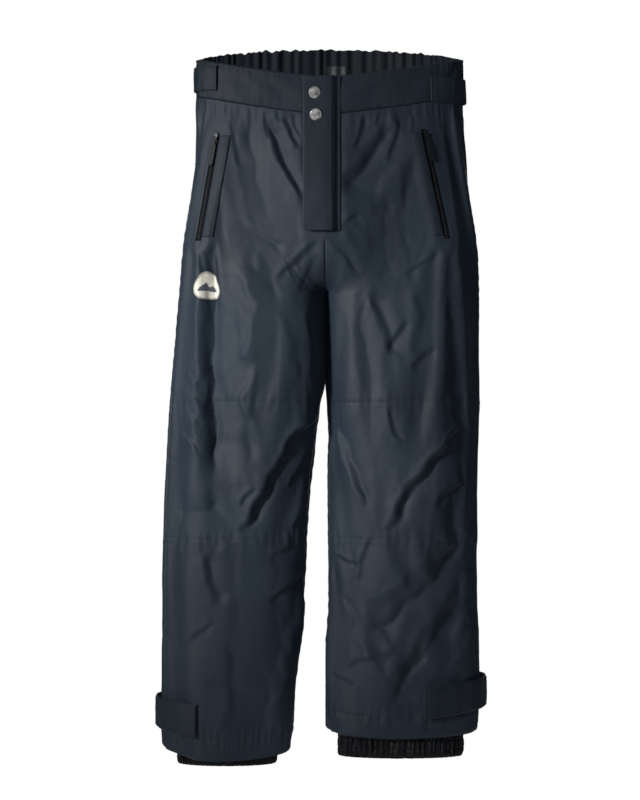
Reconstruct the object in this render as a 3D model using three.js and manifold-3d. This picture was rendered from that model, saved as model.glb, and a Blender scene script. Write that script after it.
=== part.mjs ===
// Insulated ski pants, hanging by the waistband as they do from a two-clip hanger.
// Millimetres, +Z up, the front faces -Y, and the wearer's right leg is at -X.
// The origin is the middle of the waist, level with the hanger clips.
//
// Every fabric piece is cut from one surface. A point on it has a side, a place t round that side's half of the
// garment and a height z. t runs from the front middle (0) over the side seam (near 0.5) to the back middle (1);
// below the crotch, where each leg closes on itself, t = 0 and t = 1 are the inseam. A piece is a patch of that
// surface between two offsets along its normal, so pieces lie on each other as plies of cloth do. The surface is
// made of flat strips between the T_LINES, and every ply has its columns on those lines.

import * as THREE from "three";
import { mergeVertices } from "three/addons/utils/BufferGeometryUtils.js";
import Module from "manifold-3d";

const wasm = await Module();
wasm.setup();

// ---------- driving dimensions ----------

const GAP = 0.3; // clearance between pieces that touch
const SEAT = 0.55; // clearance under a piece that lies across panels which bend differently

// Drops from the clip line down the garment.
const HIP_DROP = 245;
const RISE = 290; // to the crotch
const THIGH_DROP = 405;
const KNEE_DROP = 525;
const SHIN_DROP = 700;
const OUTSEAM = { right: 884, left: 864 }; // to the side of each hem, as they hang

// Distance of the outer and inner edge of each leg from the middle plane, at those drops.
const OUTER = {
  right: { waist: 171, hip: 194, thigh: 206, knee: 215, shin: 214.5, hem: 216 },
  left: { waist: 183, hip: 208, thigh: 208, knee: 203.5, shin: 203, hem: 202 },
};
const INNER = {
  right: { crotch: 1.5, thigh: 3.5, knee: 19, shin: 31, hem: 46 },
  left: { crotch: 1.5, thigh: 1.5, knee: 3.3, shin: 3, hem: -2 },
};
// Distance of the front and back from the middle of the thickness.
const FRONT = { waist: 48, hip: 62, thigh: 62, knee: 56, hem: 55 };
const BACK = { waist: 52, hip: 72, thigh: 66, knee: 58, hem: 60 };

const CROTCH_CURVE = 85; // height of the curved end of the crotch seam
const SIDE_SEAM = 0.46; // t of the side seam
const SEAM_T = { middle: 0.0004, side: 0.0009 }; // half the gap between two panels at a seam, in t
const T_LINES = [
  0, 0.065, 0.13, 0.195, 0.26, 0.32, 0.37, 0.42, 0.46, 0.5, 0.54, 0.59, 0.65, 0.72, 0.79, 0.86, 0.93, 1,
];

// Plies, as offsets from the outer surface.
const SHELL = 3; // outer fabric with its insulation
const BACK_WAISTBAND = 2.4; // folded outer fabric
const ELASTIC = 1.4; // inside the back waistband
const WAISTBAND = BACK_WAISTBAND + GAP + ELASTIC; // the front waistband is as thick as the back with its elastic
const FACING = 1.4;
const LINING = 1.2;
const LINING_GAP = 0.95; // between the shell of a leg and its lining
const POUCH = { gap: 0.8, ply: 2.4 }; // a pocket bag, and its gap to the shell and to the hip lining
const SHIELD_PLY = 2.2;

// Top edge of the waistband above the clip line, and its height.
const TOP_FRONT = -7.5;
const TOP_SIDE = 19.5;
const TOP_BACK = 40;
const WAISTBAND_HEIGHT = 50;

// The bands where the legs bend, from a distance above the crotch and the knee to a distance below them.
const HIP_FOLD = { above: 50, below: 55 };
const KNEE_FOLD = { above: 75, below: 70 };
const HIP_FOLD_Z = { top: HIP_FOLD.above - RISE, bottom: -HIP_FOLD.below - RISE };
const KNEE_FOLD_Z = { top: KNEE_FOLD.above - KNEE_DROP, bottom: -KNEE_FOLD.below - KNEE_DROP };
const HEM_SAG = { right: 20, left: 9 }; // how much lower the front of the hem hangs than its sides
const HEM_KICK = 0.3; // how much the back of the hem is raised, as a share of the sag

// Fly.
const FLY_SLOT = 10;
const FLY_BOTTOM = HIP_FOLD_Z.top + 36;
const PLACKET = { left: 20, right: 29, bottom: FLY_BOTTOM - 7, lift: 5.6, ply: 2 };
const FLY_ZIP_TOP = -60;

// Snap fasteners on the placket, as distance right of the middle and height.
const SNAPS = { upper: { x: -17, z: -28 }, lower: { x: -14, z: -56 } };
const SNAP_RADIUS = 7.8;
const SNAP_SHANK = 2;
const SNAP_SIDES = 14;

// Hand pockets. The zip runs from top to bottom, as distance in from the outline and height.
const POCKET = {
  right: { top: { inset: 32, z: -80 }, bottom: { inset: 24, z: HIP_FOLD_Z.top + 18 } },
  left: { top: { inset: 57, z: -76 }, bottom: { inset: 45, z: HIP_FOLD_Z.top + 20 } },
};
const POCKET_SLOT = 8;
const WELT_WIDTH = 15;
const POUCH_WIDTH = 85;
const POUCH_BOTTOM = HIP_FOLD_Z.top + 4;

// Zip chains and sliders.
const CHAIN = { fly: { width: 5, height: 1 }, pocket: { width: 4.4, height: 1 } };
const TAPE_PLY = 1;
const CHAIN_TOP = 2.6 - SHELL; // offset of the top of the chain
const SLIDER = { width: POCKET_SLOT - 1.4, length: 13, plate: 1.6, ear: 0.8, earHeight: 2.1, earLength: 4 };
const PULL = { width: 7.6, ply: 1.2, neck: 4, neckLength: 7 };
const PULL_LENGTH = { fly: 18, pocket: 36 };
const PIVOT_HEIGHT = 1.2; // of the pull's pivot above the slider's plate

// Waist adjustment tabs: hook-and-loop straps from the front of the waistband round the side.
const WAIST_TAB = {
  right: { root: 0.313, end: 0.7, z: -7 },
  left: { root: 0.27, end: 0.7, z: -23 },
};
const WAIST_TAB_HEIGHT = 33;
const TAB_PLY = 2;
const PILE_PLY = 0.9;

// Cuff tabs. The root is a place t, and its middle stands above the side of the hem.
const CUFF_TAB = {
  right: { root: 0.324, above: 31, rise: 16, stand: 10 },
  left: { root: 0.294, above: 35, rise: 20, stand: 12 },
};
const CUFF_TAB_END = 0.66;
const CUFF_TAB_HEIGHT = { root: 44, end: 35 };

// Snow gaiters, sewn in above the side of the hem and showing below it.
const GAITER_ABOVE = 119;
const GAITER_SHOWS = { right: 30, left: 40 };
const GAITER_INSET = 20; // of the elastic ring from the leg
const GAITER_RING = 30;
const GAITER_PLY = 1.6;

// Badge on the right thigh, as distance in from the outline and above the crotch.
const BADGE = { inset: 39, above: 7, radius: 16.5, stretch: 1.12, ply: 1.2, sides: 18 };

// ---------- materials ----------

function cloth(color, roughness) {
  return new THREE.MeshStandardMaterial({ color, roughness, metalness: 0 });
}

const MATERIAL = {
  shell: cloth(0x2b333d, 0.62),
  lining: cloth(0x171b21, 0.7),
  elastic: cloth(0x20242a, 0.85),
  pile: cloth(0x14171c, 0.95),
  zip: cloth(0x16191e, 0.5),
  gaiter: cloth(0x101319, 0.42),
  badge: cloth(0xe6e3d8, 0.8),
  metal: new THREE.MeshStandardMaterial({ color: 0xb9bab6, roughness: 0.34, metalness: 1 }),
};

// ---------- the surface ----------

const SIDES = ["right", "left"];
const SIGN = { right: -1, left: 1 };

const clamp = (v, low, high) => Math.min(high, Math.max(low, v));
const lerp = (a, b, s) => a + (b - a) * s;

function smooth(low, high, v) {
  const s = clamp((v - low) / (high - low), 0, 1);
  return s * s * (3 - 2 * s);
}

// A smooth curve through [z, value] rows that fall in z, flat past its ends.
function profile(rows) {
  const slope = rows.map((row, i) => {
    const [a, b] = [rows[Math.max(i - 1, 0)], rows[Math.min(i + 1, rows.length - 1)]];
    return (b[1] - a[1]) / (b[0] - a[0]);
  });
  slope[0] = 0;
  slope[rows.length - 1] = 0;
  return (z) => {
    if (z >= rows[0][0]) return rows[0][1];
    const i = rows.findIndex((row) => row[0] <= z);
    if (i < 0) return rows[rows.length - 1][1];
    const [z0, v0] = rows[i - 1];
    const [z1, v1] = rows[i];
    const span = z1 - z0;
    const s = (z - z0) / span;
    const h = s * s * (3 - 2 * s);
    const bend = s * (1 - s) * span * ((1 - s) * slope[i - 1] - s * slope[i]);
    return lerp(v0, v1, h) + bend;
  };
}

function levels(side) {
  return { waist: 0, hip: -HIP_DROP, thigh: -THIGH_DROP, knee: -KNEE_DROP, shin: -SHIN_DROP, hem: -OUTSEAM[side] };
}

// One value for each named level, as a profile.
function widths(side, values) {
  const at = { ...levels(side), crotch: -RISE };
  return profile(Object.entries(values).map(([level, value]) => [at[level], value]));
}

const SHAPE = Object.fromEntries(
  SIDES.map((side) => [
    side,
    {
      outer: widths(side, OUTER[side]),
      inner: widths(side, INNER[side]),
      front: widths(side, FRONT),
      back: widths(side, BACK),
    },
  ]),
);

// How far a point belongs to a closed leg (1) and not to the trunk (0). At the middle it follows the crotch seam.
function legShare(t, z) {
  const k = clamp((CROTCH_CURVE - RISE - z) / CROTCH_CURVE, 0, 1);
  const seam = 1 - Math.sqrt(1 - k * k);
  const open = smooth(0, 1, (CROTCH_CURVE - RISE + 55 - z) / (CROTCH_CURVE + 105));
  return lerp(seam, open, smooth(0, 0.2, Math.min(t, 1 - t)));
}

// A point of the smooth outer surface.
function smoothPoint(side, t, z) {
  const shape = SHAPE[side];
  const [outer, inner] = [shape.outer(z), shape.inner(z)];
  const depth = t < 0.5 ? shape.front(z) : shape.back(z);
  const leg = legShare(t, z);
  const turn = Math.PI * t;
  const x = lerp(outer * Math.sin(turn), (outer + inner) / 2 - ((outer - inner) / 2) * Math.cos(2 * turn), leg);
  const y = -depth * lerp(Math.cos(turn), Math.sin(2 * turn), leg);
  return new THREE.Vector3(SIGN[side] * x, y, z);
}

const gaiterTop = (side) => GAITER_ABOVE - OUTSEAM[side];
const gaiterBottom = (side) => -OUTSEAM[side] - GAITER_SHOWS[side];

// A point of a gaiter, which narrows from the lining to its elastic ring.
function gaiterPoint(side, t, z) {
  const shape = SHAPE[side];
  const narrowed = smooth(gaiterTop(side), gaiterBottom(side) + GAITER_RING, z);
  const inset = lerp(SHELL + LINING_GAP + LINING + 1, GAITER_INSET, narrowed);
  const point = smoothPoint(side, t, z);
  const middle = (SIGN[side] * (shape.outer(z) + shape.inner(z))) / 2;
  const half = (shape.outer(z) - shape.inner(z)) / 2;
  const depth = t < 0.5 ? shape.front(z) : shape.back(z);
  point.x = middle + ((point.x - middle) * (half - inset)) / half;
  point.y *= (depth - inset) / depth;
  return point;
}

function outward(surface, side, t, z) {
  const across = surface(side, t + 0.001, z).sub(surface(side, t - 0.001, z));
  const up = surface(side, t, z + 0.5).sub(surface(side, t, z - 0.5));
  return across.cross(up).multiplyScalar(SIGN[side]).normalize();
}

// A point at an offset from the surface, on the flat strip between the two T_LINES next to t.
function at({ side, t, z }, offset = 0, surface = smoothPoint) {
  const i = clamp(T_LINES.findIndex((line) => line >= t), 1, T_LINES.length - 1);
  const [a, b] = [T_LINES[i - 1], T_LINES[i]].map((line) =>
    surface(side, line, z).addScaledVector(outward(surface, side, line, z), offset),
  );
  return a.lerp(b, (t - T_LINES[i - 1]) / (T_LINES[i] - T_LINES[i - 1]));
}

// The side and t of the point of the front surface that lies at x and z.
function onFront(x, z) {
  const side = x < 0 ? "right" : "left";
  let [low, high] = [0, 0.5];
  for (let i = 0; i < 30; i++) {
    const t = (low + high) / 2;
    if (Math.abs(at({ side, t, z }).x) < Math.abs(x)) low = t;
    else high = t;
  }
  return { side, t: (low + high) / 2, z };
}

// ---------- edges ----------

function waistTop(t) {
  if (t < 0.5) return lerp(TOP_FRONT, TOP_SIDE, Math.sin(Math.PI * t) ** 1.4);
  return lerp(TOP_SIDE, TOP_BACK, Math.max(0, -Math.cos(Math.PI * t)) ** 1.2);
}

const waistSeam = (t) => waistTop(t) - WAISTBAND_HEIGHT;
const hem = (side, t) => -OUTSEAM[side] - HEM_SAG[side] * (t < 0.5 ? 1 : HEM_KICK) * Math.sin(2 * Math.PI * t);

// ---------- making solids ----------

function mesh(name, geometry, material) {
  const made = new THREE.Mesh(geometry, material);
  made.name = name;
  return made;
}

// A closed geometry from points and triangles, turned so that its faces point out.
function closed(points, triangles) {
  let volume = 0;
  for (const [a, b, c] of triangles) volume += points[a].dot(points[b].clone().cross(points[c]));
  const faces = volume < 0 ? triangles.map(([a, b, c]) => [a, c, b]) : triangles;
  const geometry = new THREE.BufferGeometry();
  geometry.setAttribute(
    "position",
    new THREE.Float32BufferAttribute(points.flatMap((p) => p.toArray()), 3),
  );
  geometry.setIndex(faces.flat());
  return geometry;
}

// A ply: the patch of a surface at place(column, b) for each column and b from 0 to 1, between the offsets low and
// high, which may be functions of (column, b). A ring joins its last column to its first.
function ply({ surface, columns, rows, place, low, high, ring = false }) {
  const points = [];
  const count = columns.length;
  for (const offset of [low, high])
    for (let j = 0; j <= rows; j++)
      for (const column of columns) {
        const away = typeof offset === "function" ? offset(column, j / rows) : offset;
        points.push(at(place(column, j / rows), away, surface));
      }
  const index = (face, i, j) => face * count * (rows + 1) + j * count + (i % count);
  const triangles = [];
  const quad = (a, b, c, d) => triangles.push([a, b, c], [a, c, d]);
  const last = ring ? count : count - 1;
  for (let i = 0; i < last; i++) {
    for (let j = 0; j < rows; j++) {
      quad(index(0, i, j), index(0, i + 1, j), index(0, i + 1, j + 1), index(0, i, j + 1));
      quad(index(1, i, j), index(1, i, j + 1), index(1, i + 1, j + 1), index(1, i + 1, j));
    }
    quad(index(0, i, 0), index(1, i, 0), index(1, i + 1, 0), index(0, i + 1, 0));
    quad(index(0, i, rows), index(0, i + 1, rows), index(1, i + 1, rows), index(1, i, rows));
  }
  if (!ring)
    for (let j = 0; j < rows; j++) {
      quad(index(0, 0, j), index(0, 0, j + 1), index(1, 0, j + 1), index(1, 0, j));
      quad(index(0, last, j), index(1, last, j), index(1, last, j + 1), index(0, last, j + 1));
    }
  return closed(points, triangles);
}

// Columns on one side from t0 to t1.
function between(side, t0, t1) {
  const inside = T_LINES.filter((t) => t > t0 + 0.004 && t < t1 - 0.004);
  return [t0, ...inside, t1].map((t) => ({ side, t }));
}

// Columns from t0 on the right side, across the back middle, to t0 on the left side.
function roundTheBack(t0) {
  return [...between("right", t0, 1), ...between("left", t0, 1).reverse().slice(1)];
}

// Columns once round one leg, for a ring.
const roundTheLeg = (side) => T_LINES.slice(0, -1).map((t) => ({ side, t }));

// Rows from the height top(t) down to bottom(t).
function fall(top, bottom) {
  return ({ side, t }, b) => ({ side, t, z: lerp(top(t), bottom(t), b) });
}

// The part of a geometry in front of the middle plane whose front view lies inside an outline of [x, z] points.
function cutOut(geometry, outline) {
  const shape = new THREE.Shape(outline.map(([x, z]) => new THREE.Vector2(x, z)));
  const prism = new THREE.ExtrudeGeometry(shape, { depth: 300, bevelEnabled: false }).rotateX(Math.PI / 2);
  return toGeometry(toSolid(geometry).intersect(toSolid(prism)));
}

function toSolid(geometry, matrix = new THREE.Matrix4()) {
  const bare = geometry.index ? geometry.toNonIndexed() : geometry.clone();
  for (const key of Object.keys(bare.attributes)) if (key !== "position") bare.deleteAttribute(key);
  const merged = mergeVertices(bare.applyMatrix4(matrix), 1e-4);
  return new wasm.Manifold(
    new wasm.Mesh({
      numProp: 3,
      vertProperties: merged.attributes.position.array,
      triVerts: new Uint32Array(merged.index.array),
    }),
  );
}

function toGeometry(solid) {
  const { numProp, numVert, vertProperties, triVerts } = solid.getMesh();
  const position = new Float32Array(numVert * 3);
  for (let i = 0; i < numVert; i++) position.set(vertProperties.subarray(i * numProp, i * numProp + 3), i * 3);
  return new THREE.BufferGeometry()
    .setAttribute("position", new THREE.BufferAttribute(position, 3))
    .setIndex(new THREE.BufferAttribute(triVerts, 1));
}

// A group at a point, its Z out along normal and its Y up along the given direction.
function mount(point, normal, up) {
  const z = normal.clone().normalize();
  const x = up.clone().cross(z).normalize();
  const y = z.clone().cross(x);
  const group = new THREE.Group();
  group.position.copy(point);
  group.quaternion.setFromRotationMatrix(new THREE.Matrix4().makeBasis(x, y, z));
  group.updateMatrixWorld(true);
  return group;
}

const garment = new THREE.Group();

// ---------- zips ----------

// The straight line of a zip between two points of the front, with a group half way along it.
function zipLine(top, bottom) {
  const [first, second] = [top, bottom].map(({ x, z }) => {
    const place = onFront(x, z);
    return { point: at(place), normal: outward(smoothPoint, place.side, place.t, z) };
  });
  const along = first.point.clone().sub(second.point);
  const middle = first.point.clone().lerp(second.point, 0.5);
  return { length: along.length(), frame: mount(middle, first.normal.add(second.normal), along) };
}

function bar(width, length, low, high) {
  return new THREE.BoxGeometry(width, length, high - low).translate(0, 0, (low + high) / 2);
}

// A closed zip: a strip of tape with the chain standing on it, extruded along its line.
function zipStrip(tapeWidth, chain, length) {
  const foot = CHAIN_TOP - chain.height;
  const outline = [
    [-tapeWidth / 2, foot - TAPE_PLY],
    [tapeWidth / 2, foot - TAPE_PLY],
    [tapeWidth / 2, foot],
    [chain.width / 2, foot],
    [chain.width / 2, CHAIN_TOP],
    [-chain.width / 2, CHAIN_TOP],
    [-chain.width / 2, foot],
    [-tapeWidth / 2, foot],
  ];
  const shape = new THREE.Shape(outline.map(([x, y]) => new THREE.Vector2(x, y)));
  const strip = new THREE.ExtrudeGeometry(shape, { depth: length, bevelEnabled: false });
  return strip.translate(0, 0, -length / 2).rotateX(Math.PI / 2);
}

// A slider's plate with two ears for the pull. Its origin is the middle of the chain's top.
function sliderBody() {
  const plate = toSolid(bar(SLIDER.width, SLIDER.length, GAP, GAP + SLIDER.plate));
  const reach = PULL.neck / 2 + GAP + SLIDER.ear / 2;
  const top = GAP + SLIDER.plate + SLIDER.earHeight;
  const ear = (hand) =>
    toSolid(bar(SLIDER.ear, SLIDER.earLength, GAP + SLIDER.plate / 2, top).translate(hand * reach, 0, 0));
  return toGeometry(plate.add(ear(-1)).add(ear(1)));
}

// A pull hanging down from its pivot at the origin, with a narrow neck between the slider's ears.
function pullTab(length) {
  const [neck, half] = [PULL.neck / 2, PULL.width / 2];
  const shape = new THREE.Shape();
  shape.moveTo(-neck, PULL.ply / 2);
  shape.lineTo(-neck, -PULL.neckLength);
  shape.lineTo(-half, -PULL.neckLength - 2.5);
  shape.absarc(0, half - length, half, Math.PI, 2 * Math.PI, false);
  shape.lineTo(half, -PULL.neckLength - 2.5);
  shape.lineTo(neck, -PULL.neckLength);
  shape.lineTo(neck, PULL.ply / 2);
  const tab = new THREE.ExtrudeGeometry(shape, { depth: PULL.ply, bevelEnabled: false, curveSegments: 8 });
  return tab.translate(0, 0, -PULL.ply / 2);
}

// A zip with its strip, slider and pull. The slider is at the top of the line.
function addZip(kind, line, slot, chain, pullLength) {
  const home = new THREE.Group();
  home.position.set(0, line.length / 2 - SLIDER.length / 2 - 1, CHAIN_TOP);
  home.add(mesh(`${kind}_slider`, sliderBody(), MATERIAL.metal));
  const pull = mesh(`${kind}_pull`, pullTab(pullLength), MATERIAL.zip);
  pull.position.set(0, 0, GAP + SLIDER.plate + PIVOT_HEIGHT);
  home.add(pull);
  line.frame.add(mesh(`${kind}_zip`, zipStrip(slot - 2 * GAP, chain, line.length - 2 * GAP), MATERIAL.zip), home);
  garment.add(line.frame);
}

const flyLine = zipLine({ x: 0, z: FLY_ZIP_TOP }, { x: 0, z: FLY_BOTTOM });

// The ends of a pocket's zip as points of the front view.
function pocketEnds(side) {
  const end = ({ inset, z }) => ({ x: SIGN[side] * (SHAPE[side].outer(z) - inset), z });
  return { top: end(POCKET[side].top), bottom: end(POCKET[side].bottom) };
}

const pocketLine = Object.fromEntries(
  SIDES.map((side) => {
    const { top, bottom } = pocketEnds(side);
    return [side, zipLine(top, bottom)];
  }),
);

// The hole through the shell that a zip sits in.
function slotSolid(line, slot) {
  return toSolid(bar(slot, line.length, -3 * SHELL, 3 * SHELL), line.frame.matrixWorld);
}

function addZips() {
  addZip("fly", flyLine, FLY_SLOT, CHAIN.fly, PULL_LENGTH.fly);
  for (const side of SIDES)
    addZip(`pocket_${side}`, pocketLine[side], POCKET_SLOT, CHAIN.pocket, PULL_LENGTH.pocket);
}

// ---------- trunk ----------

function addWaistband() {
  const rows = 2;
  for (const side of SIDES) {
    const columns = between(side, 2 * SEAM_T.middle, SIDE_SEAM - SEAM_T.side);
    const band = ply({ columns, rows, place: fall(waistTop, waistSeam), low: -WAISTBAND, high: 0 });
    garment.add(mesh(`waistband_front_${side}`, band, MATERIAL.shell));
  }
  const back = ply({
    columns: roundTheBack(SIDE_SEAM + SEAM_T.side),
    rows,
    place: fall(waistTop, waistSeam),
    low: -BACK_WAISTBAND,
    high: 0,
  });
  const elastic = ply({
    columns: roundTheBack(SIDE_SEAM + 0.02),
    rows,
    place: fall((t) => waistTop(t) - 4, (t) => waistSeam(t) + 4),
    low: -BACK_WAISTBAND - GAP - ELASTIC,
    high: -BACK_WAISTBAND - GAP,
  });
  const facing = ply({
    columns: roundTheBack(0.004),
    rows,
    place: fall(waistTop, waistSeam),
    low: -WAISTBAND - GAP - FACING,
    high: -WAISTBAND - GAP,
  });
  garment.add(
    mesh("waistband_back", back, MATERIAL.shell),
    mesh("waist_elastic", elastic, MATERIAL.elastic),
    mesh("waistband_facing", facing, MATERIAL.lining),
  );
}

const hipFall = fall((t) => waistSeam(t) - GAP, () => HIP_FOLD_Z.top);
const HIP_ROWS = 5;
const hipHeights = Array.from({ length: HIP_ROWS + 1 }, (_, j) =>
  lerp(waistSeam(0) - GAP, HIP_FOLD_Z.top, j / HIP_ROWS),
);

// A ply that follows the whole hip front of one side between two offsets.
function hipFrontPly(side, low, high) {
  const columns = between(side, SEAM_T.middle, SIDE_SEAM - SEAM_T.side);
  return ply({ columns, rows: HIP_ROWS, place: hipFall, low, high });
}

function addHipPanels() {
  for (const side of SIDES) {
    const front = toSolid(hipFrontPly(side, -SHELL, 0))
      .subtract(slotSolid(flyLine, FLY_SLOT))
      .subtract(slotSolid(pocketLine[side], POCKET_SLOT));
    const back = ply({
      columns: between(side, SIDE_SEAM + SEAM_T.side, 1 - SEAM_T.middle),
      rows: HIP_ROWS,
      place: hipFall,
      low: -SHELL,
      high: 0,
    });
    garment.add(
      mesh(`hip_front_${side}`, toGeometry(front), MATERIAL.shell),
      mesh(`hip_back_${side}`, back, MATERIAL.shell),
    );
  }
  const liningDepth = SHELL + POUCH.ply + 2 * POUCH.gap - 0.1;
  const lining = ply({
    columns: roundTheBack(onFront(PLACKET.right - 6, FLY_BOTTOM).t),
    rows: HIP_ROWS,
    place: hipFall,
    low: -liningDepth - LINING,
    high: -liningDepth,
  });
  const shield = ply({
    columns: [-PLACKET.right, 0, PLACKET.right],
    rows: HIP_ROWS,
    place: (x, b) => onFront(x, hipHeights[Math.round(b * HIP_ROWS)]),
    low: -SHELL - POUCH.gap - SHIELD_PLY,
    high: -SHELL - POUCH.gap,
  });
  garment.add(mesh("hip_lining", lining, MATERIAL.lining), mesh("fly_shield", shield, MATERIAL.shell));
}

function addPockets() {
  for (const side of SIDES) {
    const { top, bottom } = pocketEnds(side);
    // A point at a height, towards the middle from the zip by a distance.
    const inward = (z, distance) => {
      const x = lerp(top.x, bottom.x, (z - top.z) / (bottom.z - top.z));
      return [x - SIGN[side] * distance, z];
    };
    const clear = POCKET_SLOT / 2 + GAP;
    const [high, low] = [top.z - 4, bottom.z + 4];
    const welt = cutOut(hipFrontPly(side, GAP, GAP + 1.6), [
      inward(high, clear),
      inward(high, clear + WELT_WIDTH),
      inward(low, clear + WELT_WIDTH),
      inward(low, clear),
    ]);
    const bag = cutOut(hipFrontPly(side, -SHELL - POUCH.gap - POUCH.ply, -SHELL - POUCH.gap), [
      inward(top.z, -POCKET_SLOT / 2),
      inward(top.z, POUCH_WIDTH),
      inward(POUCH_BOTTOM, POUCH_WIDTH + 10),
      inward(POUCH_BOTTOM, -POCKET_SLOT / 2),
    ]);
    garment.add(
      mesh(`pocket_welt_${side}`, welt, MATERIAL.shell),
      mesh(`pocket_bag_${side}`, bag, MATERIAL.lining),
    );
  }
}

// ---------- placket and snaps ----------

function snapMount({ x, z }) {
  const place = onFront(x, z);
  return mount(at(place), outward(smoothPoint, place.side, place.t, z), new THREE.Vector3(0, 0, 1));
}

// A solid of revolution about Z from [radius, height] rows.
function turned(rows) {
  const profileRows = rows.map(([r, h]) => new THREE.Vector2(r, h));
  return toGeometry(toSolid(new THREE.LatheGeometry(profileRows, SNAP_SIDES).rotateX(Math.PI / 2)));
}

// The cap outside the placket, its shank through it and the socket under it, in one piece.
function snapCap() {
  const under = PLACKET.lift - SEAT;
  const over = PLACKET.lift + PLACKET.ply + SEAT;
  return turned([
    [0, under - 0.8],
    [SNAP_SHANK + 0.5, under - 0.8],
    [SNAP_SHANK + 0.5, under - 2.6],
    [SNAP_SHANK + 2.6, under - 2.6],
    [SNAP_SHANK + 2.6, under],
    [SNAP_SHANK, under],
    [SNAP_SHANK, over],
    [SNAP_RADIUS, over],
    [SNAP_RADIUS, over + 0.7],
    [SNAP_RADIUS - 1.4, over + 1.6],
    [0, over + 2],
  ]);
}

function snapStud() {
  return turned([
    [0, GAP],
    [SNAP_SHANK + 2.8, GAP],
    [SNAP_SHANK + 2.8, GAP + 0.9],
    [SNAP_SHANK, GAP + 0.9],
    [SNAP_SHANK, PLACKET.lift - 1.7],
    [0, PLACKET.lift - 1.7],
  ]);
}

// The placket stands off the zip and comes down to the shell at its sewn edge.
function addFly() {
  const low = (x) => lerp(PLACKET.lift, GAP, smooth(PLACKET.left - 14, PLACKET.left - 3, x));
  const heights = [TOP_FRONT, ...hipHeights.filter((z) => z > PLACKET.bottom + 4), PLACKET.bottom];
  const rows = heights.length - 1;
  const flap = ply({
    columns: [-PLACKET.right, 0, PLACKET.left - 14, PLACKET.left - 8, PLACKET.left - 3, PLACKET.left],
    rows,
    place: (x, b) => onFront(x, heights[Math.round(b * rows)]),
    low,
    high: (x) => low(x) + PLACKET.ply,
  });
  let placket = toSolid(flap);
  for (const [name, spot] of Object.entries(SNAPS)) {
    const seat = snapMount(spot);
    const hole = new THREE.CylinderGeometry(SNAP_SHANK + GAP, SNAP_SHANK + GAP, 40, SNAP_SIDES).rotateX(Math.PI / 2);
    placket = placket.subtract(toSolid(hole, seat.matrixWorld));
    seat.add(
      mesh(`snap_cap_${name}`, snapCap(), MATERIAL.metal),
      mesh(`snap_stud_${name}`, snapStud(), MATERIAL.metal),
    );
    garment.add(seat);
  }
  garment.add(mesh("fly_placket", toGeometry(placket), MATERIAL.shell));
}

// ---------- tabs ----------

// A strap along one side from t root to t end, its middle height and half height functions of t.
function strap(side, root, end, middle, half, low, high) {
  const place = ({ t }, b) => ({ side, t, z: middle(t) + half(t) * (1 - 2 * b) });
  return ply({ columns: between(side, root, end), rows: 1, place, low, high });
}

function addWaistTabs() {
  for (const side of SIDES) {
    const { root, end, z } = WAIST_TAB[side];
    const half = WAIST_TAB_HEIGHT / 2;
    const base = SEAT + PILE_PLY + GAP;
    const pile = strap(side, root + 0.02, end + 0.03, () => z, () => half - 3, SEAT, SEAT + PILE_PLY);
    const tab = strap(side, root, end, () => z, () => half, base, base + TAB_PLY);
    garment.add(
      mesh(`waist_loop_pile_${side}`, pile, MATERIAL.pile),
      mesh(`waist_tab_${side}`, tab, MATERIAL.shell),
    );
  }
}

function addCuffTabs() {
  for (const side of SIDES) {
    const { root, above, rise, stand } = CUFF_TAB[side];
    const share = (t) => (t - root) / (CUFF_TAB_END - root);
    const middle = (t) => above - OUTSEAM[side] + rise * share(t);
    const half = (t) => lerp(CUFF_TAB_HEIGHT.root, CUFF_TAB_HEIGHT.end, share(t)) / 2;
    const low = ({ t }) => SEAT + PILE_PLY + GAP + stand * smooth(0.2, 0.75, share(t));
    const high = (column) => low(column) + TAB_PLY;
    const pile = strap(
      side,
      root + 0.015,
      CUFF_TAB_END - 0.02,
      middle,
      () => CUFF_TAB_HEIGHT.end / 2 - 4,
      SEAT,
      SEAT + PILE_PLY,
    );
    garment.add(
      mesh(`cuff_loop_pile_${side}`, pile, MATERIAL.pile),
      mesh(`cuff_tab_${side}`, strap(side, root, CUFF_TAB_END, middle, half, low, high), MATERIAL.shell),
    );
  }
}

// ---------- legs ----------

function addLegBand(side, name, top, bottom, rows) {
  const shared = { rows, place: fall(top, bottom), low: -SHELL, high: 0 };
  const front = between(side, SEAM_T.middle, SIDE_SEAM - SEAM_T.side);
  const back = between(side, SIDE_SEAM + SEAM_T.side, 1 - SEAM_T.middle);
  garment.add(
    mesh(`${name}_front_${side}`, ply({ columns: front, ...shared }), MATERIAL.shell),
    mesh(`${name}_back_${side}`, ply({ columns: back, ...shared }), MATERIAL.shell),
  );
}

function addLegLining(side, name, top, bottom, rows) {
  const lining = ply({
    columns: roundTheLeg(side),
    rows,
    place: fall(top, bottom),
    low: -SHELL - LINING_GAP - LINING,
    high: -SHELL - LINING_GAP,
    ring: true,
  });
  garment.add(mesh(`${name}_lining_${side}`, lining, MATERIAL.lining));
}

function hipFoldPly(side, low, high) {
  return ply({
    columns: between(side, SEAM_T.middle, 1 - SEAM_T.middle),
    rows: 7,
    place: fall(() => HIP_FOLD_Z.top - GAP, () => HIP_FOLD_Z.bottom),
    low,
    high,
  });
}

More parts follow.
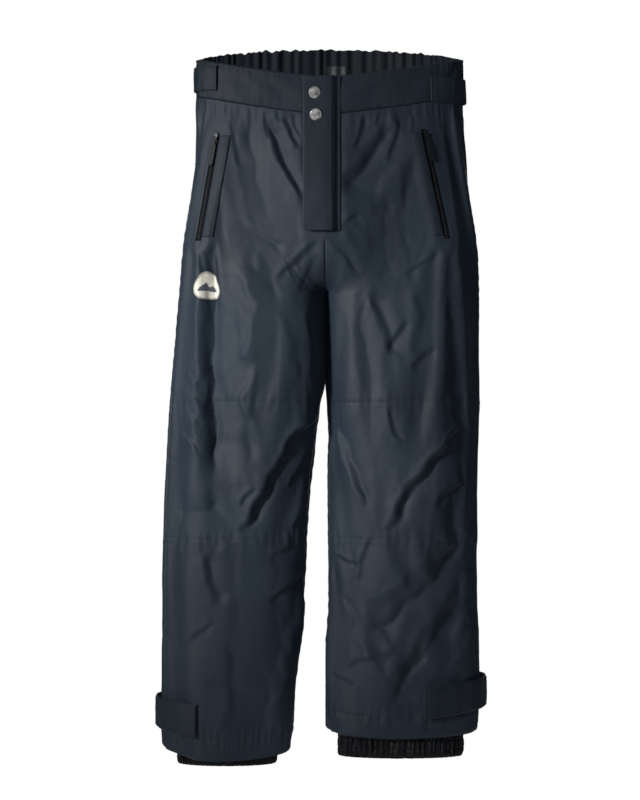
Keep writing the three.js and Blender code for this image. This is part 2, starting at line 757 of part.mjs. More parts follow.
function addLegs() {
  const level = (z) => () => z;
  const thigh = [level(HIP_FOLD_Z.bottom - GAP), level(KNEE_FOLD_Z.top)];
  const knee = [level(KNEE_FOLD_Z.top - GAP), level(KNEE_FOLD_Z.bottom)];
  for (const side of SIDES) {
    const shinTop = level(KNEE_FOLD_Z.bottom - GAP);
    garment.add(mesh(`hip_fold_${side}`, hipFoldPly(side, -SHELL, 0), MATERIAL.shell));
    addLegBand(side, "thigh", ...thigh, 2);
    addLegLining(side, "thigh", ...thigh, 2);
    addLegBand(side, "knee", ...knee, 3);
    addLegBand(side, "shin", shinTop, (t) => hem(side, t), 4);
    addLegLining(side, "shin", shinTop, (t) => hem(side, t) + 30, 3);
  }
}

function addGaiters() {
  for (const side of SIDES) {
    const bottom = gaiterBottom(side);
    const ringTop = bottom + GAITER_RING;
    const shared = { surface: gaiterPoint, columns: roundTheLeg(side), low: -GAITER_PLY, high: 0, ring: true };
    const sleeve = ply({ rows: 4, place: fall(() => gaiterTop(side), () => ringTop + GAP), ...shared });
    const elastic = ply({ rows: 1, place: fall(() => ringTop, () => bottom), ...shared });
    garment.add(
      mesh(`gaiter_sleeve_${side}`, sleeve, MATERIAL.gaiter),
      mesh(`gaiter_elastic_${side}`, elastic, MATERIAL.gaiter),
    );
  }
}

// ---------- badge ----------

// An egg-shaped patch lying on the fold of the right hip, point up.
function addBadge() {
  const outline = [];
  const z = BADGE.above - RISE;
  const x = BADGE.inset - SHAPE.right.outer(z);
  for (let i = 0; i < BADGE.sides; i++) {
    const angle = (2 * Math.PI * i) / BADGE.sides;
    const r = BADGE.radius * (1 + 0.09 * Math.cos(3 * (angle - Math.PI / 2)));
    outline.push([x + r * Math.cos(angle), z + r * BADGE.stretch * Math.sin(angle)]);
  }
  garment.add(mesh("badge_right", cutOut(hipFoldPly("right", GAP, GAP + BADGE.ply), outline), MATERIAL.badge));
}

addWaistband();
addHipPanels();
addPockets();
addZips();
addFly();
addWaistTabs();
addLegs();
addGaiters();
addCuffTabs();
addBadge();

export default garment;
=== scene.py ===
import math

import bpy
import numpy as np
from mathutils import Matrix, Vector


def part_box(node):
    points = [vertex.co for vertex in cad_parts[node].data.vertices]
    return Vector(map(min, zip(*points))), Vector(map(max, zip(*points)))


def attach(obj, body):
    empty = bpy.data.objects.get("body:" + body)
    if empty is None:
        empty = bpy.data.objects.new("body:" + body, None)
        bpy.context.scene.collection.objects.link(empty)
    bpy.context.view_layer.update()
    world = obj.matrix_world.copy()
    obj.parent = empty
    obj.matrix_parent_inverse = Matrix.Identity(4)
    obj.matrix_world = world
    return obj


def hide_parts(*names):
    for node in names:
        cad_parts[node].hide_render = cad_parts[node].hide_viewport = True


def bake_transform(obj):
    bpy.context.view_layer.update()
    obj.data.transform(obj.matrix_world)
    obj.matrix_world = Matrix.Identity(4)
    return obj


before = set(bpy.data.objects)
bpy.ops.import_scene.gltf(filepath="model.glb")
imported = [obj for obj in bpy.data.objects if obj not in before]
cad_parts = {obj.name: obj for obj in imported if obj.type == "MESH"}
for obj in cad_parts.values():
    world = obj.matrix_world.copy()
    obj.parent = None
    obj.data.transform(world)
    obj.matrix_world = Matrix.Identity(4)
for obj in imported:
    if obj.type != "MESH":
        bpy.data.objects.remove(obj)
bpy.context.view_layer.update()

# Ski pants hanging by the waistband. Lengths in this script are millimetres unless a name ends in _m.
# A place on the garment has a side, t round that side (0 front middle, 0.46 side seam, 1 back middle) and a height z.

SIDES = ("right", "left")
SIGN = {"right": -1.0, "left": 1.0}
SIDE_SEAM = 0.46
RISE = 290.0
CROTCH_CURVE = 85.0
ROUND = 620  # t times this is about the length along the cloth, round a leg
WAIST_ROUND = 560  # and round one side of the gathered waistband
BAND_HEIGHT = 50.0
HEM_STITCH = 29  # above the hem
SHELL = 3.0  # thickness of the shell
GAITER_TOP = 119  # above the hem at the side
GAITER_SHOWS = {"right": 30, "left": 40}  # below it
KNEE_SEAM = -437.0  # between the upper and the lower cloth
LOWER_SEAM = -613.0


def span_of(*nodes):
    """Lowest and highest corner of several CAD nodes, in millimetres."""
    corners = [[np.array(c) * 1000 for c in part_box(n)] for n in nodes]
    return np.min([c[0] for c in corners], axis=0), np.max([c[1] for c in corners], axis=0)


# ---------- the surface ----------

clamp01 = lambda v: np.clip(v, 0.0, 1.0)
lerp = lambda a, b, s: a + (b - a) * s


def bell(distance, width):
    return np.exp(-((distance / width) ** 2))


def smooth(low, high, v):
    s = clamp01((v - low) / (high - low))
    return s * s * (3 - 2 * s)


def profile(rows):
    """A smooth curve through (z, value) rows that fall in z, flat past its ends."""
    z, v = np.array(rows, float).T
    n = len(z)
    slope = np.array(
        [(v[min(i + 1, n - 1)] - v[max(i - 1, 0)]) / (z[min(i + 1, n - 1)] - z[max(i - 1, 0)]) for i in range(n)]
    )
    slope[0] = slope[-1] = 0

    def curve(q):
        q = np.asarray(q, float)
        i = np.clip(np.searchsorted(-z, -q), 1, n - 1)
        gap = z[i] - z[i - 1]
        s = clamp01((q - z[i - 1]) / gap)
        bend = s * (1 - s) * gap * ((1 - s) * slope[i - 1] - s * slope[i])
        return lerp(v[i - 1], v[i], s * s * (3 - 2 * s)) + bend

    return curve


HEM_Z = {"right": 884.0, "left": 864.0}  # drop of the hem at the side
SHAPE = {}
OUTER = {"right": (171, 194, 206, 215, 214.5, 216), "left": (183, 208, 208, 203.5, 203, 202)}
INNER = {"right": (1.5, 3.5, 19, 31, 46), "left": (1.5, 1.5, 3.3, 3, -2)}
FRONT = (48, 62, 62, 56, 55)
BACK = (52, 72, 66, 58, 60)
for side in SIDES:
    drop = {"waist": 0, "hip": -245, "crotch": -RISE, "thigh": -405, "knee": -525, "shin": -700, "hem": -HEM_Z[side]}
    row = lambda names, values: profile([(drop[n], v) for n, v in zip(names.split(), values)])
    SHAPE[side] = {
        "outer": row("waist hip thigh knee shin hem", OUTER[side]),
        "inner": row("crotch thigh knee shin hem", INNER[side]),
        "front": row("waist hip thigh knee hem", FRONT),
        "back": row("waist hip thigh knee hem", BACK),
    }


def leg_share(t, z):
    k = clamp01((CROTCH_CURVE - RISE - z) / CROTCH_CURVE)
    seam = 1 - np.sqrt(1 - k * k)
    opened = smooth(0, 1, (CROTCH_CURVE - RISE + 55 - z) / (CROTCH_CURVE + 105))
    return lerp(seam, opened, smooth(0, 0.2, np.minimum(t, 1 - t)))


def base(side, t, z):
    """A point of the smooth outer surface, with no folds."""
    shape = SHAPE[side]
    t, z = np.broadcast_arrays(np.asarray(t, float), np.asarray(z, float))
    outer, inner = shape["outer"](z), shape["inner"](z)
    depth = np.where(t < 0.5, shape["front"](z), shape["back"](z))
    leg = leg_share(t, z)
    turn = np.pi * t
    x = lerp(outer * np.sin(turn), (outer + inner) / 2 - (outer - inner) / 2 * np.cos(2 * turn), leg)
    y = -depth * lerp(np.cos(turn), np.sin(2 * turn), leg)
    return np.stack([SIGN[side] * x, y, z], axis=-1)


def unit(v):
    return v / np.maximum(np.linalg.norm(v, axis=-1, keepdims=True), 1e-9)


def base_normal(side, t, z):
    across = base(side, t + 0.001, z) - base(side, t - 0.001, z)
    up = base(side, t, z + 0.5) - base(side, t, z - 0.5)
    return unit(np.cross(across, up) * SIGN[side])


T_LINES = np.array(
    [0, 0.065, 0.13, 0.195, 0.26, 0.32, 0.37, 0.42, 0.46, 0.5, 0.54, 0.59, 0.65, 0.72, 0.79, 0.86, 0.93, 1]
)


def faceted(side, t, z):
    """The same point on the CAD's flat strips, where the hard pieces sit."""
    t, z = np.broadcast_arrays(np.asarray(t, float), np.asarray(z, float))
    i = np.clip(np.searchsorted(T_LINES, t), 1, len(T_LINES) - 1)
    a, b = T_LINES[i - 1], T_LINES[i]
    return lerp(base(side, a, z), base(side, b, z), ((t - a) / (b - a))[..., None])


def waist_top(t):
    t = np.asarray(t, float)
    front = lerp(-7.5, 19.5, np.sin(np.pi * clamp01(t)) ** 1.4)
    back = lerp(19.5, 40.0, np.maximum(0, -np.cos(np.pi * t)) ** 1.2)
    return np.where(t < 0.5, front, back)


waist_seam = lambda t: waist_top(t) - BAND_HEIGHT


def hem(side, t):
    sag = {"right": 20.0, "left": 9.0}[side]
    return -HEM_Z[side] - sag * np.where(np.asarray(t) < 0.5, 1, 0.3) * np.sin(2 * np.pi * np.asarray(t))


def knee_seam(t):
    return KNEE_SEAM + 4.0 * np.sin(2 * np.pi * np.asarray(t)) * (np.asarray(t) < 0.5)


# ---------- noise ----------

def perlin(u, v, seed):
    g = np.random.default_rng(seed).random((64, 64)) * 2 * np.pi
    iu, iv = np.floor(u).astype(int), np.floor(v).astype(int)
    fu, fv = u - iu, v - iv
    fade = lambda f: f * f * f * (f * (f * 6 - 15) + 10)

    def corner(i, j):
        a = g[(iu + i) % 64, (iv + j) % 64]
        return np.cos(a) * (fu - i) + np.sin(a) * (fv - j)

    low = lerp(corner(0, 0), corner(1, 0), fade(fu))
    high = lerp(corner(0, 1), corner(1, 1), fade(fu))
    return 1.5 * lerp(low, high, fade(fv))


def creases(u, v, seed, sharp=3.0):
    """Thin branching lines, 1 on a line and near 0 between them."""
    bent = 0.45 * perlin(u * 0.6 + 7.3, v * 0.6 - 3.1, seed + 1)
    n = perlin(u + bent, v + 0.8 * bent, seed)
    return (1 - np.minimum(np.abs(n) * 1.8, 1)) ** sharp


# ---------- folds ----------

# A fold is drawn on the front view as (points in x and z, half width, depth, ridge): a valley, with a ridge of that
# share of its depth along its upper side towards -X, and a steep slope between them. Where the ridge is below 0 there
# is none: a wide slope runs down to the line of the fold and ends in a crisp edge.
FOLDS = [
    # trunk
    ([(-78, -66), (-64, -105), (-52, -130), (-40, -152), (-30, -176)], 9, 7.0, 0.5),
    ([(-58, -58), (-47, -80), (-37, -104)], 7, 3.4, 0.6),
    ([(-82, -50), (-80, -74), (-73, -92)], 5, 2.2, 0.5),
    ([(-66, -50), (-62, -68)], 4, 1.8, 0.5),
    ([(-44, -54), (-41, -72), (-34, -88)], 4.5, 2.0, 0.5),
    ([(-98, -58), (-100, -95), (-90, -140), (-78, -200)], 13, 4.5, -0.2),
    ([(-126, -60), (-122, -96), (-112, -128)], 7, 1.8, 0.5),
    ([(-116, -190), (-84, -214), (-50, -228)], 12, 2.4, 0.4),
    ([(-14, -222), (-36, -246), (-68, -274)], 8, 3.2, 0.7),
    ([(2, -217), (20, -238), (44, -267)], 7.5, 3.2, 0.3),
    ([(-9, -240), (-24, -262), (-40, -292)], 6, 2.0, 0.5),
    ([(90, -70), (66, -108), (46, -135), (24, -164)], 10, 7.0, -0.25),
    ([(44, -186), (32, -194), (20, -203)], 6, 2.4, 0.5),
    ([(80, -156), (80, -215), (74, -286)], 14, 6.0, -0.2),
    ([(98, -58), (92, -86), (80, -120)], 6, 2.4, 0.5),
    ([(52, -58), (46, -82), (36, -104)], 6, 2.2, 0.5),
    ([(70, -54), (66, -74)], 4.5, 2.0, 0.5),
    ([(116, -58), (114, -84)], 5, 2.0, 0.5),
    ([(112, -110), (104, -158), (98, -200), (104, -246)], 15, 2.6, 0.4),
    ([(150, -236), (128, -252), (102, -262)], 8, 2.4, 0.5),
    # right leg
    ([(-146, -214), (-151, -290), (-153, -370), (-151, -450), (-147, -540)], 14, 18.0, -0.12),
    ([(-186, -392), (-166, -412)], 4.5, 1.8, 0.6),
    ([(-188, -414), (-165, -436)], 4.5, 2.0, 0.6),
    ([(-186, -440), (-166, -466)], 4.5, 2.0, 0.6),
    ([(-8, -444), (-28, -464), (-42, -477), (-66, -518), (-87, -562), (-114, -606)], 14, 12.0, 0.5),
    ([(-206, -574), (-172, -578), (-136, -560)], 14, 7.0, -0.3),
    ([(-92, -545), (-106, -556), (-112, -570)], 5, 2.6, 0.8),
    ([(-20, -484), (-32, -512), (-48, -546)], 6, 2.8, 0.7),
    ([(-22, -564), (-34, -580), (-46, -601)], 6, 2.6, 0.7),
    ([(-76, -634), (-58, -628), (-40, -618)], 8, 2.6, 0.6),
    ([(-76, -692), (-52, -676), (-30, -656)], 11, 4.0, 0.6),
    ([(-160, -630), (-154, -664), (-140, -700)], 14, 4.4, 0.4),
    ([(-200, -742), (-184, -746), (-168, -734), (-146, -718)], 9, 2.6, 0.4),
    ([(-31, -672), (-48, -726), (-62, -772), (-74, -832), (-78, -890)], 17, -6.0, 0),
    ([(-196, -470), (-176, -486), (-166, -506)], 6, 2.4, 0.6),
    ([(-132, -740), (-126, -812), (-130, -868)], 18, 2.2, 0.3),
    ([(-64, -300), (-46, -340), (-38, -410)], 18, 2.2, 0.3),
    ([(-118, -300), (-112, -380)], 12, -2.0, 0),
    ([(-28, -310), (-22, -360), (-20, -420)], 10, 2.8, 0.4),
    ([(-110, -446), (-98, -490), (-104, -530)], 16, 1.6, 0.3),
    ([(-160, -792), (-120, -802), (-84, -824)], 14, 1.8, 0.3),
    # left leg
    ([(36, -292), (50, -352), (66, -430)], 11, 4.5, -0.2),
    ([(59, -288), (72, -330), (90, -374)], 12, 4.0, 0.4),
    ([(80, -372), (91, -346), (108, -326)], 9, 3.2, 0.4),
    ([(110, -388), (128, -372), (146, -362)], 10, 2.8, 0.4),
    ([(188, -459), (166, -482), (149, -502), (126, -528), (106, -552), (80, -604)], 13, 9.0, 0.5),
    ([(9, -462), (30, -512), (54, -574)], 12, 5.0, 0.5),
    ([(82, -438), (89, -470), (103, -486)], 6, 2.8, 0.6),
    ([(6, -630), (24, -640), (46, -643)], 8, 3.0, 0.5),
    ([(192, -606), (158, -648), (133, -674), (106, -698), (84, -716), (44, -744)], 20, 17.0, -0.35),
    ([(192, -682), (158, -722), (132, -760), (108, -796), (80, -832)], 13, 10.0, -0.35),
    ([(24, -782), (58, -768), (98, -760)], 11, 3.4, 0.6),
    ([(6, -789), (22, -796), (42, -804)], 7, 2.6, 0.5),
    ([(118, -284), (124, -330), (114, -376)], 15, 2.4, 0.3),
    ([(160, -290), (166, -360), (160, -430)], 16, 2.8, 0.3),
    ([(186, -540), (162, -548), (140, -566)], 9, 3.4, 0.6),
    ([(60, -610), (48, -640), (40, -672)], 8, 2.6, 0.6),
    ([(150, -820), (136, -846), (130, -866)], 8, 2.0, 0.5),
    ([(20, -690), (34, -716), (30, -744)], 8, 2.2, 0.5),
    ([(186, -800), (170, -820), (160, -838)], 6, 2.0, 0.5),
]
# The same on the back, seen from the front.
BACK_FOLDS = [
    ([(-60, -30), (-74, -90), (-66, -160), (-40, -220)], 12, 4.0, 0.5),
    ([(64, -30), (80, -96), (66, -168), (42, -224)], 12, 4.0, 0.5),
    ([(-120, -60), (-128, -130), (-120, -200)], 11, 2.6, 0.5),
    ([(126, -60), (136, -140), (120, -206)], 11, 2.6, 0.5),
    ([(-10, -236), (-50, -262), (-110, -276)], 9, 4.4, 0.7),
    ([(10, -236), (54, -258), (116, -270)], 9, 4.4, 0.4),
    ([(-20, -300), (-62, -322), (-120, -330)], 9, 3.4, 0.6),
    ([(18, -296), (64, -318), (120, -334)], 9, 3.4, 0.6),
    ([(-150, -300), (-146, -380), (-152, -440)], 12, 3.0, 0.5),
    ([(156, -300), (150, -380), (158, -440)], 12, 3.0, 0.5),
    ([(-190, -470), (-120, -492), (-50, -480)], 11, 5.0, 0.7),
    ([(-60, -520), (-120, -534), (-196, -522)], 11, 5.0, 0.7),
    ([(-190, -570), (-130, -578), (-70, -560)], 11, 4.0, 0.7),
    ([(186, -476), (120, -494), (40, -478)], 11, 5.0, 0.7),
    ([(30, -520), (100, -540), (180, -520)], 11, 5.0, 0.7),
    ([(188, -566), (120, -584), (60, -562)], 11, 4.0, 0.7),
    ([(-180, -650), (-130, -700), (-70, -730)], 12, 3.4, 0.6),
    ([(176, -640), (120, -690), (50, -722)], 12, 3.4, 0.6),
    ([(-190, -770), (-140, -800), (-80, -820)], 11, 3.0, 0.6),
    ([(182, -760), (130, -790), (60, -800)], 11, 3.0, 0.6),
]


def rounded(points, count=10):
    """Points along a Catmull-Rom curve."""
    p = np.array([points[0], *points, points[-1]], float)
    out = []
    for a, b, c, d in zip(p[:-3], p[1:-2], p[2:-1], p[3:]):
        s = np.linspace(0, 1, count, endpoint=False)[:, None]
        out.append(0.5 * (2 * b + (c - a) * s + (2 * a - 5 * b + 4 * c - d) * s**2 + (3 * b - a - 3 * c + d) * s**3))
    return np.concatenate([*out, p[-1:]])


def along(path, x, z):
    """For each point: signed distance from a path (positive on its left), and its share of the path's length."""
    best = np.full(x.shape, 1e9)
    signed, share = np.zeros(x.shape), np.zeros(x.shape)
    step = np.linalg.norm(np.diff(path, axis=0), axis=1)
    total, start = step.sum(), 0.0
    for a, b, length in zip(path[:-1], path[1:], step):
        ux, uz = (b - a) / max(length, 1e-6)
        px, pz = x - a[0], z - a[1]
        s = np.clip(px * ux + pz * uz, 0, length)
        dx, dz = px - s * ux, pz - s * uz
        d = np.hypot(dx, dz)
        near = d < best
        best = np.where(near, d, best)
        signed = np.where(near, np.where(dz * ux - dx * uz > 0, d, -d), signed)
        share = np.where(near, (start + s) / total, share)
        start += length
    return signed, share


def fold_height(x, z, folds):
    height = np.zeros(x.shape)
    for n, (points, width, depth, ridge) in enumerate(folds):
        path = rounded(points, 5)
        low, high = path.min(0) - 6 * width, path.max(0) + 6 * width
        inside = (x > low[0]) & (x < high[0]) & (z > low[1]) & (z < high[1])
        if not inside.any():
            continue
        xi, zi = x[inside], z[inside]
        wander = perlin(xi / 26 + 3.7 * n, zi / 26, 40) * width * 0.35
        signed, share = along(path, xi, zi)
        run = path[-1] - path[0]
        to_light = 0.8 * run[1] + 0.6 * run[0]  # above 0 where the path's left side faces up and to -X
        q = np.where(to_light > 0, -1, 1) * (signed + wander)
        q = q / (width * (0.8 + 0.3 * perlin(xi / 40, zi / 40 + 5.1 * n, 41)))
        fade = np.minimum(1, 2.0 * np.sin(np.pi * share)) * (1 - smooth(3.6, 5.0, np.abs(q)))
        fallen = smooth(-0.6, 0.6, q)
        valley = -fallen * np.exp(-((np.maximum(q, 0) / 2.3) ** 1.4))
        crest = (1 - fallen) * np.exp(-((np.maximum(-q, 0) / 2.0) ** 1.4))
        if ridge < 0:
            valley = -np.where(q < 0, clamp01(1 + q / 2.0) ** 1.3, np.exp(-((np.maximum(q, 0) / 3.0) ** 1.3)))
            crest = 0
        height[inside] += depth * fade * (valley + abs(ridge) * crest)
    return height


# ---------- zips, seams and their neighbourhood ----------

ZIPS = {"fly": None, "pocket_right": None, "pocket_left": None}
for name in ZIPS:
    node = "fly_zip" if name == "fly" else name + "_zip"
    co = np.array([v.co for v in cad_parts[node].data.vertices], float) * 1000
    top, low = co[co[:, 2] > co[:, 2].max() - 2.5], co[co[:, 2] < co[:, 2].min() + 2.5]
    ZIPS[name] = (top.mean(0), low.mean(0), co)


def zip_distance(name, x, z):
    a, b, _ = ZIPS[name]
    return along(np.array([[a[0], a[2]], [b[0], b[2]]]), x, z)[0]


def calm(side, t, x, z):
    """1 where the cloth lies as in the CAD model, next to hard pieces, falling to 0 away from them."""
    front = 1 - smooth(0.44, 0.52, t)
    pocket = 1 - smooth(8, 26, np.abs(zip_distance("pocket_" + side, x, z)))
    placket = (1 - smooth(22, 34, np.abs(x + 4))) * smooth(-232, -216, z)
    return np.maximum(pocket, placket) * front


def height(side, t, z, x):
    """Height of the folds over the smooth surface."""
    front = 1 - smooth(0.47, 0.53, t)
    h = np.zeros(np.shape(x))
    for near, share, folds in ((front > 0.001, front, FOLDS), (front < 0.999, 0.6 * (1 - front), BACK_FOLDS)):
        if near.any():
            h[near] += share[near] * fold_height(x[near], z[near], folds)
    own = {"right": 0, "left": 500}[side]
    a = t * ROUND
    h += 3.0 * perlin(a / 95 + 2.1, z / 150, 11 + own)
    h += 1.1 * perlin(a / 48, z / 75 + 1.7, 12 + own)
    some = smooth(-0.15, 0.45, perlin(a / 120 + 4.2, z / 110, 14 + own))
    h += -0.8 * some * creases(a / 75 + z / 180, z / 110 - a / 240, 13 + own, 3)
    h += -0.35 * some * creases(a / 36 - z / 90, z / 60, 15 + own, 2.5)
    h += 0.10 * perlin(a / 13, z / 15, 17 + own)
    if side == "right":  # the front of the thigh is one broad plane that faces outwards
        h += 8.0 * bell(x + 34, 62) * smooth(225, 330, -z) * (1 - smooth(440, 560, -z)) * front
    # puckers gather at the seams
    for seam, reach, size, wave in (
        (waist_seam(t), 26, 1.5, 9), (knee_seam(t), 13, 1.1, 8), (LOWER_SEAM, 13, 1.0, 8),
        (hem(side, t) + HEM_STITCH, 12, 1.9, 7)
    ):
        d = np.abs(z - seam)
        h += size * bell(d, reach) * perlin(a / wave, z / 40, 19 + own + int(reach))
    d = np.abs(t - SIDE_SEAM) * ROUND
    h += 1.0 * bell(d, 12) * perlin(z / 9, a / 40, 23 + own)
    closed = smooth(RISE - 12, RISE + 6, -z)
    edge = np.minimum(t, 1 - t) * ROUND
    h += 1.6 * closed * bell(edge, 22) * (perlin(z / 11, a / 50, 29 + own) - 0.25)
    # seam lines
    line = lambda dist, w, deep: -deep * bell(dist, w)
    h += line(d, 1.9, 1.1)
    h += (
        line(z - hem(side, t) - HEM_STITCH, 1.7, 0.9) + line(z - LOWER_SEAM, 1.5, 0.6) * front
        + line(z - knee_seam(t), 1.6, 0.45)
    )
    return h


SIM = {}  # side: displacement of a coarse grid of the smooth surface, from the cloth simulation


def sampled(grid, t, z):
    """A value of a coarse grid at (t, z), by cubic weights."""
    t0, t1, z0, z1, field = grid
    rows, cols = field.shape[:2]
    u = np.clip((t - t0) / (t1 - t0) * (cols - 1), 0, cols - 1.001)
    v = np.clip((z - z0) / (z1 - z0) * (rows - 1), 0, rows - 1.001)
    iu, iv = np.floor(u).astype(int), np.floor(v).astype(int)
    fu, fv = u - iu, v - iv

    def weights(f):
        return [
            (-f + 2 * f**2 - f**3) / 2, (2 - 5 * f**2 + 3 * f**3) / 2, (f + 4 * f**2 - 3 * f**3) / 2,
            (f**3 - f**2) / 2
        ]

    out = 0
    for j, wv in enumerate(weights(fv)):
        for i, wu in enumerate(weights(fu)):
            value = field[np.clip(iv + j - 1, 0, rows - 1), np.clip(iu + i - 1, 0, cols - 1)]
            out = out + (wu * wv)[..., None] * value
    return out


def skin(side, t, z):
    """A point of the outer surface with its folds."""
    t, z = np.broadcast_arrays(np.asarray(t, float), np.asarray(z, float))
    p = base(side, t, z)
    still = calm(side, t, p[..., 0], z)
    waist = smooth(-14, 4, z - waist_seam(t))
    edge = np.minimum(t, 1 - t) * ROUND
    # the inner sides of the legs neither part nor reach into each other
    contact = (1 - smooth(10, 34, edge)) * smooth(215, 262, -z) * (1 - smooth(425, 500, -z))
    contact = np.maximum(contact, (1 - smooth(1.5, 18, edge)) * (z > -RISE))
    loose = (1 - still) * (1 - waist) * (1 - contact)
    normal = base_normal(side, t, z)
    move = normal * (height(side, t, z, p[..., 0]) * loose)[..., None]
    if side in SIM:
        move = move + sampled(SIM[side], t, z) * loose[..., None]
    groove = -1.3 * bell(edge, 2.4) * (1 - smooth(RISE - 40, RISE - 10, -z)) * (1 - still) * (1 - waist)
    out = lerp(p, faceted(side, t, z), still[..., None]) + move + normal * groove[..., None]
    # the legs lie against each other below the crotch
    meet = bell(edge, 30) * smooth(198, 212, -z) * (1 - smooth(405, 440, -z))
    gap = np.maximum(SHAPE[side]["inner"](z) - 0.05, 0)
    away = np.abs(out[..., 0])
    out[..., 0] = SIGN[side] * np.where(meet > 0, np.maximum(away - gap * meet, np.minimum(away, 0.05)), away)
    out[..., 0] -= 0.14 * meet * out[..., 1] * bell(out[..., 1], 14)  # the line between them isn't straight
    return out


def grid_normals(p, sign):
    du = np.gradient(p, axis=1)
    dv = -np.gradient(p, axis=0)
    return unit(np.cross(du, dv) * sign)


# ---------- making meshes ----------

COLLECTION = bpy.context.scene.collection


def new_object(name, points, faces, material=None, slots=None):
    """points in millimetres."""
    data = bpy.data.meshes.new(name)
    points = np.asarray(points, float) * 0.001
    faces = np.asarray(faces)
    data.vertices.add(len(points))
    data.vertices.foreach_set("co", points.astype(np.float32).ravel())
    corners = faces.shape[1]
    data.loops.add(faces.size)
    data.loops.foreach_set("vertex_index", faces.astype(np.int32).ravel())
    data.polygons.add(len(faces))
    data.polygons.foreach_set("loop_start", np.arange(0, faces.size, corners, dtype=np.int32))
    data.polygons.foreach_set("loop_total", np.full(len(faces), corners, dtype=np.int32))
    data.update(calc_edges=True)
    data.validate()
    data.polygons.foreach_set("use_smooth", np.full(len(data.polygons), True))
    for m in [material] if material and not isinstance(material, list) else material or []:
        data.materials.append(m)
    if slots is not None and len(slots) == len(data.polygons):
        data.polygons.foreach_set("material_index", np.asarray(slots, dtype=np.int32))
    data.set_sharp_from_angle(angle=math.radians(55))
    o = bpy.data.objects.new(name, data)
    COLLECTION.objects.link(o)
    return o


def add_piece(name, mesh, material, body=None, instead_of=()):
    """A visible piece on a body, in place of the CAD nodes it stands for."""
    o = new_object(name, *mesh, material)
    if instead_of:
        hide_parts(*instead_of)
    if body:
        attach(o, body)
    return o


def grid_faces(rows, cols, wrap=False):
    i = np.arange(cols if wrap else cols - 1)
    j = np.arange(rows - 1)
    jj, ii = np.meshgrid(j, i, indexing="ij")
    nxt = (ii + 1) % cols
    return np.stack(
        [jj * cols + ii, (jj + 1) * cols + ii, (jj + 1) * cols + nxt, jj * cols + nxt], axis=-1
    ).reshape(-1, 4)


def ring_cap(count):
    """Faces that close the first ring of a tube of rings, each of an even count of points."""
    k = np.arange(count // 2 - 1)
    return np.stack([k, k + 1, count - 2 - k, count - 1 - k], axis=-1)


def slab(outer, inner, keep=None, wrap=False, sign=1.0):
    """Points and faces of a closed ply between two grids of points. keep drops some faces and leaves holes."""
    rows, cols = outer.shape[:2]
    faces = grid_faces(rows, cols, wrap)
    if keep is not None:
        faces = faces[keep.reshape(-1)]
    if sign < 0:
        faces = faces[:, ::-1]
    n = rows * cols
    edges = np.stack([faces, np.roll(faces, -1, axis=1)], axis=-1).reshape(-1, 2)
    key = np.sort(edges, axis=1)
    code = key[:, 0] * n + key[:, 1]
    _, first, counts = np.unique(code, return_index=True, return_counts=True)
    border = edges[first[counts == 1]]
    side_faces = np.stack([border[:, 1], border[:, 0], border[:, 0] + n, border[:, 1] + n], axis=-1)
    points = np.concatenate([outer.reshape(-1, 3), inner.reshape(-1, 3)])
    all_faces = np.concatenate([faces, faces[:, ::-1] + n, side_faces])
    used = np.unique(all_faces)
    renumber = np.full(2 * n, -1)
    renumber[used] = np.arange(len(used))
    return points[used], renumber[all_faces]


def merge(parts):
    """Several (points, faces) as one."""
    points, faces, start = [], [], 0
    for p, f in parts:
        points.append(p)
        faces.append(np.asarray(f) + start)
        start += len(p)
    return np.concatenate(points), np.concatenate(faces)


def thinned(p, reach, wrap=False):
    """The share of its thickness that a ply loses on each face near its border, as a folded edge does."""
    rows, cols = p.shape[:2]
    du = np.linalg.norm(np.gradient(p, axis=1), axis=-1)
    dv = np.linalg.norm(np.gradient(p, axis=0), axis=-1)
    i, j = np.arange(cols)[None, :], np.arange(rows)[:, None]
    edge = np.minimum(j, rows - 1 - j) * dv
    if not wrap:
        edge = np.minimum(edge, np.minimum(i, cols - 1 - i) * du)
    return (1 - np.sqrt(1 - (1 - clamp01(edge / reach)) ** 2)) * 0.5


def ply(side, t, z, low, high, keep=None, wrap=False, surface=skin, rounding=0.0, extra=None):
    """A ply over a grid of t and z between two offsets. rounding thins its border as a folded edge does."""
    p = surface(side, t, z)
    n = grid_normals(p, SIGN[side])
    if extra is not None:
        p = p + n * extra[..., None]
    thin = thinned(p, rounding, wrap) if rounding else np.zeros(p.shape[:2])
    low = np.broadcast_to(low, p.shape[:2]).astype(float)
    high = np.broadcast_to(high, p.shape[:2]).astype(float)
    depth = high - low
    top = p + n * (high - depth * thin)[..., None]
    bottom = p + n * (low + depth * thin * 0.8)[..., None]
    return slab(top, bottom, keep, wrap, SIGN[side])


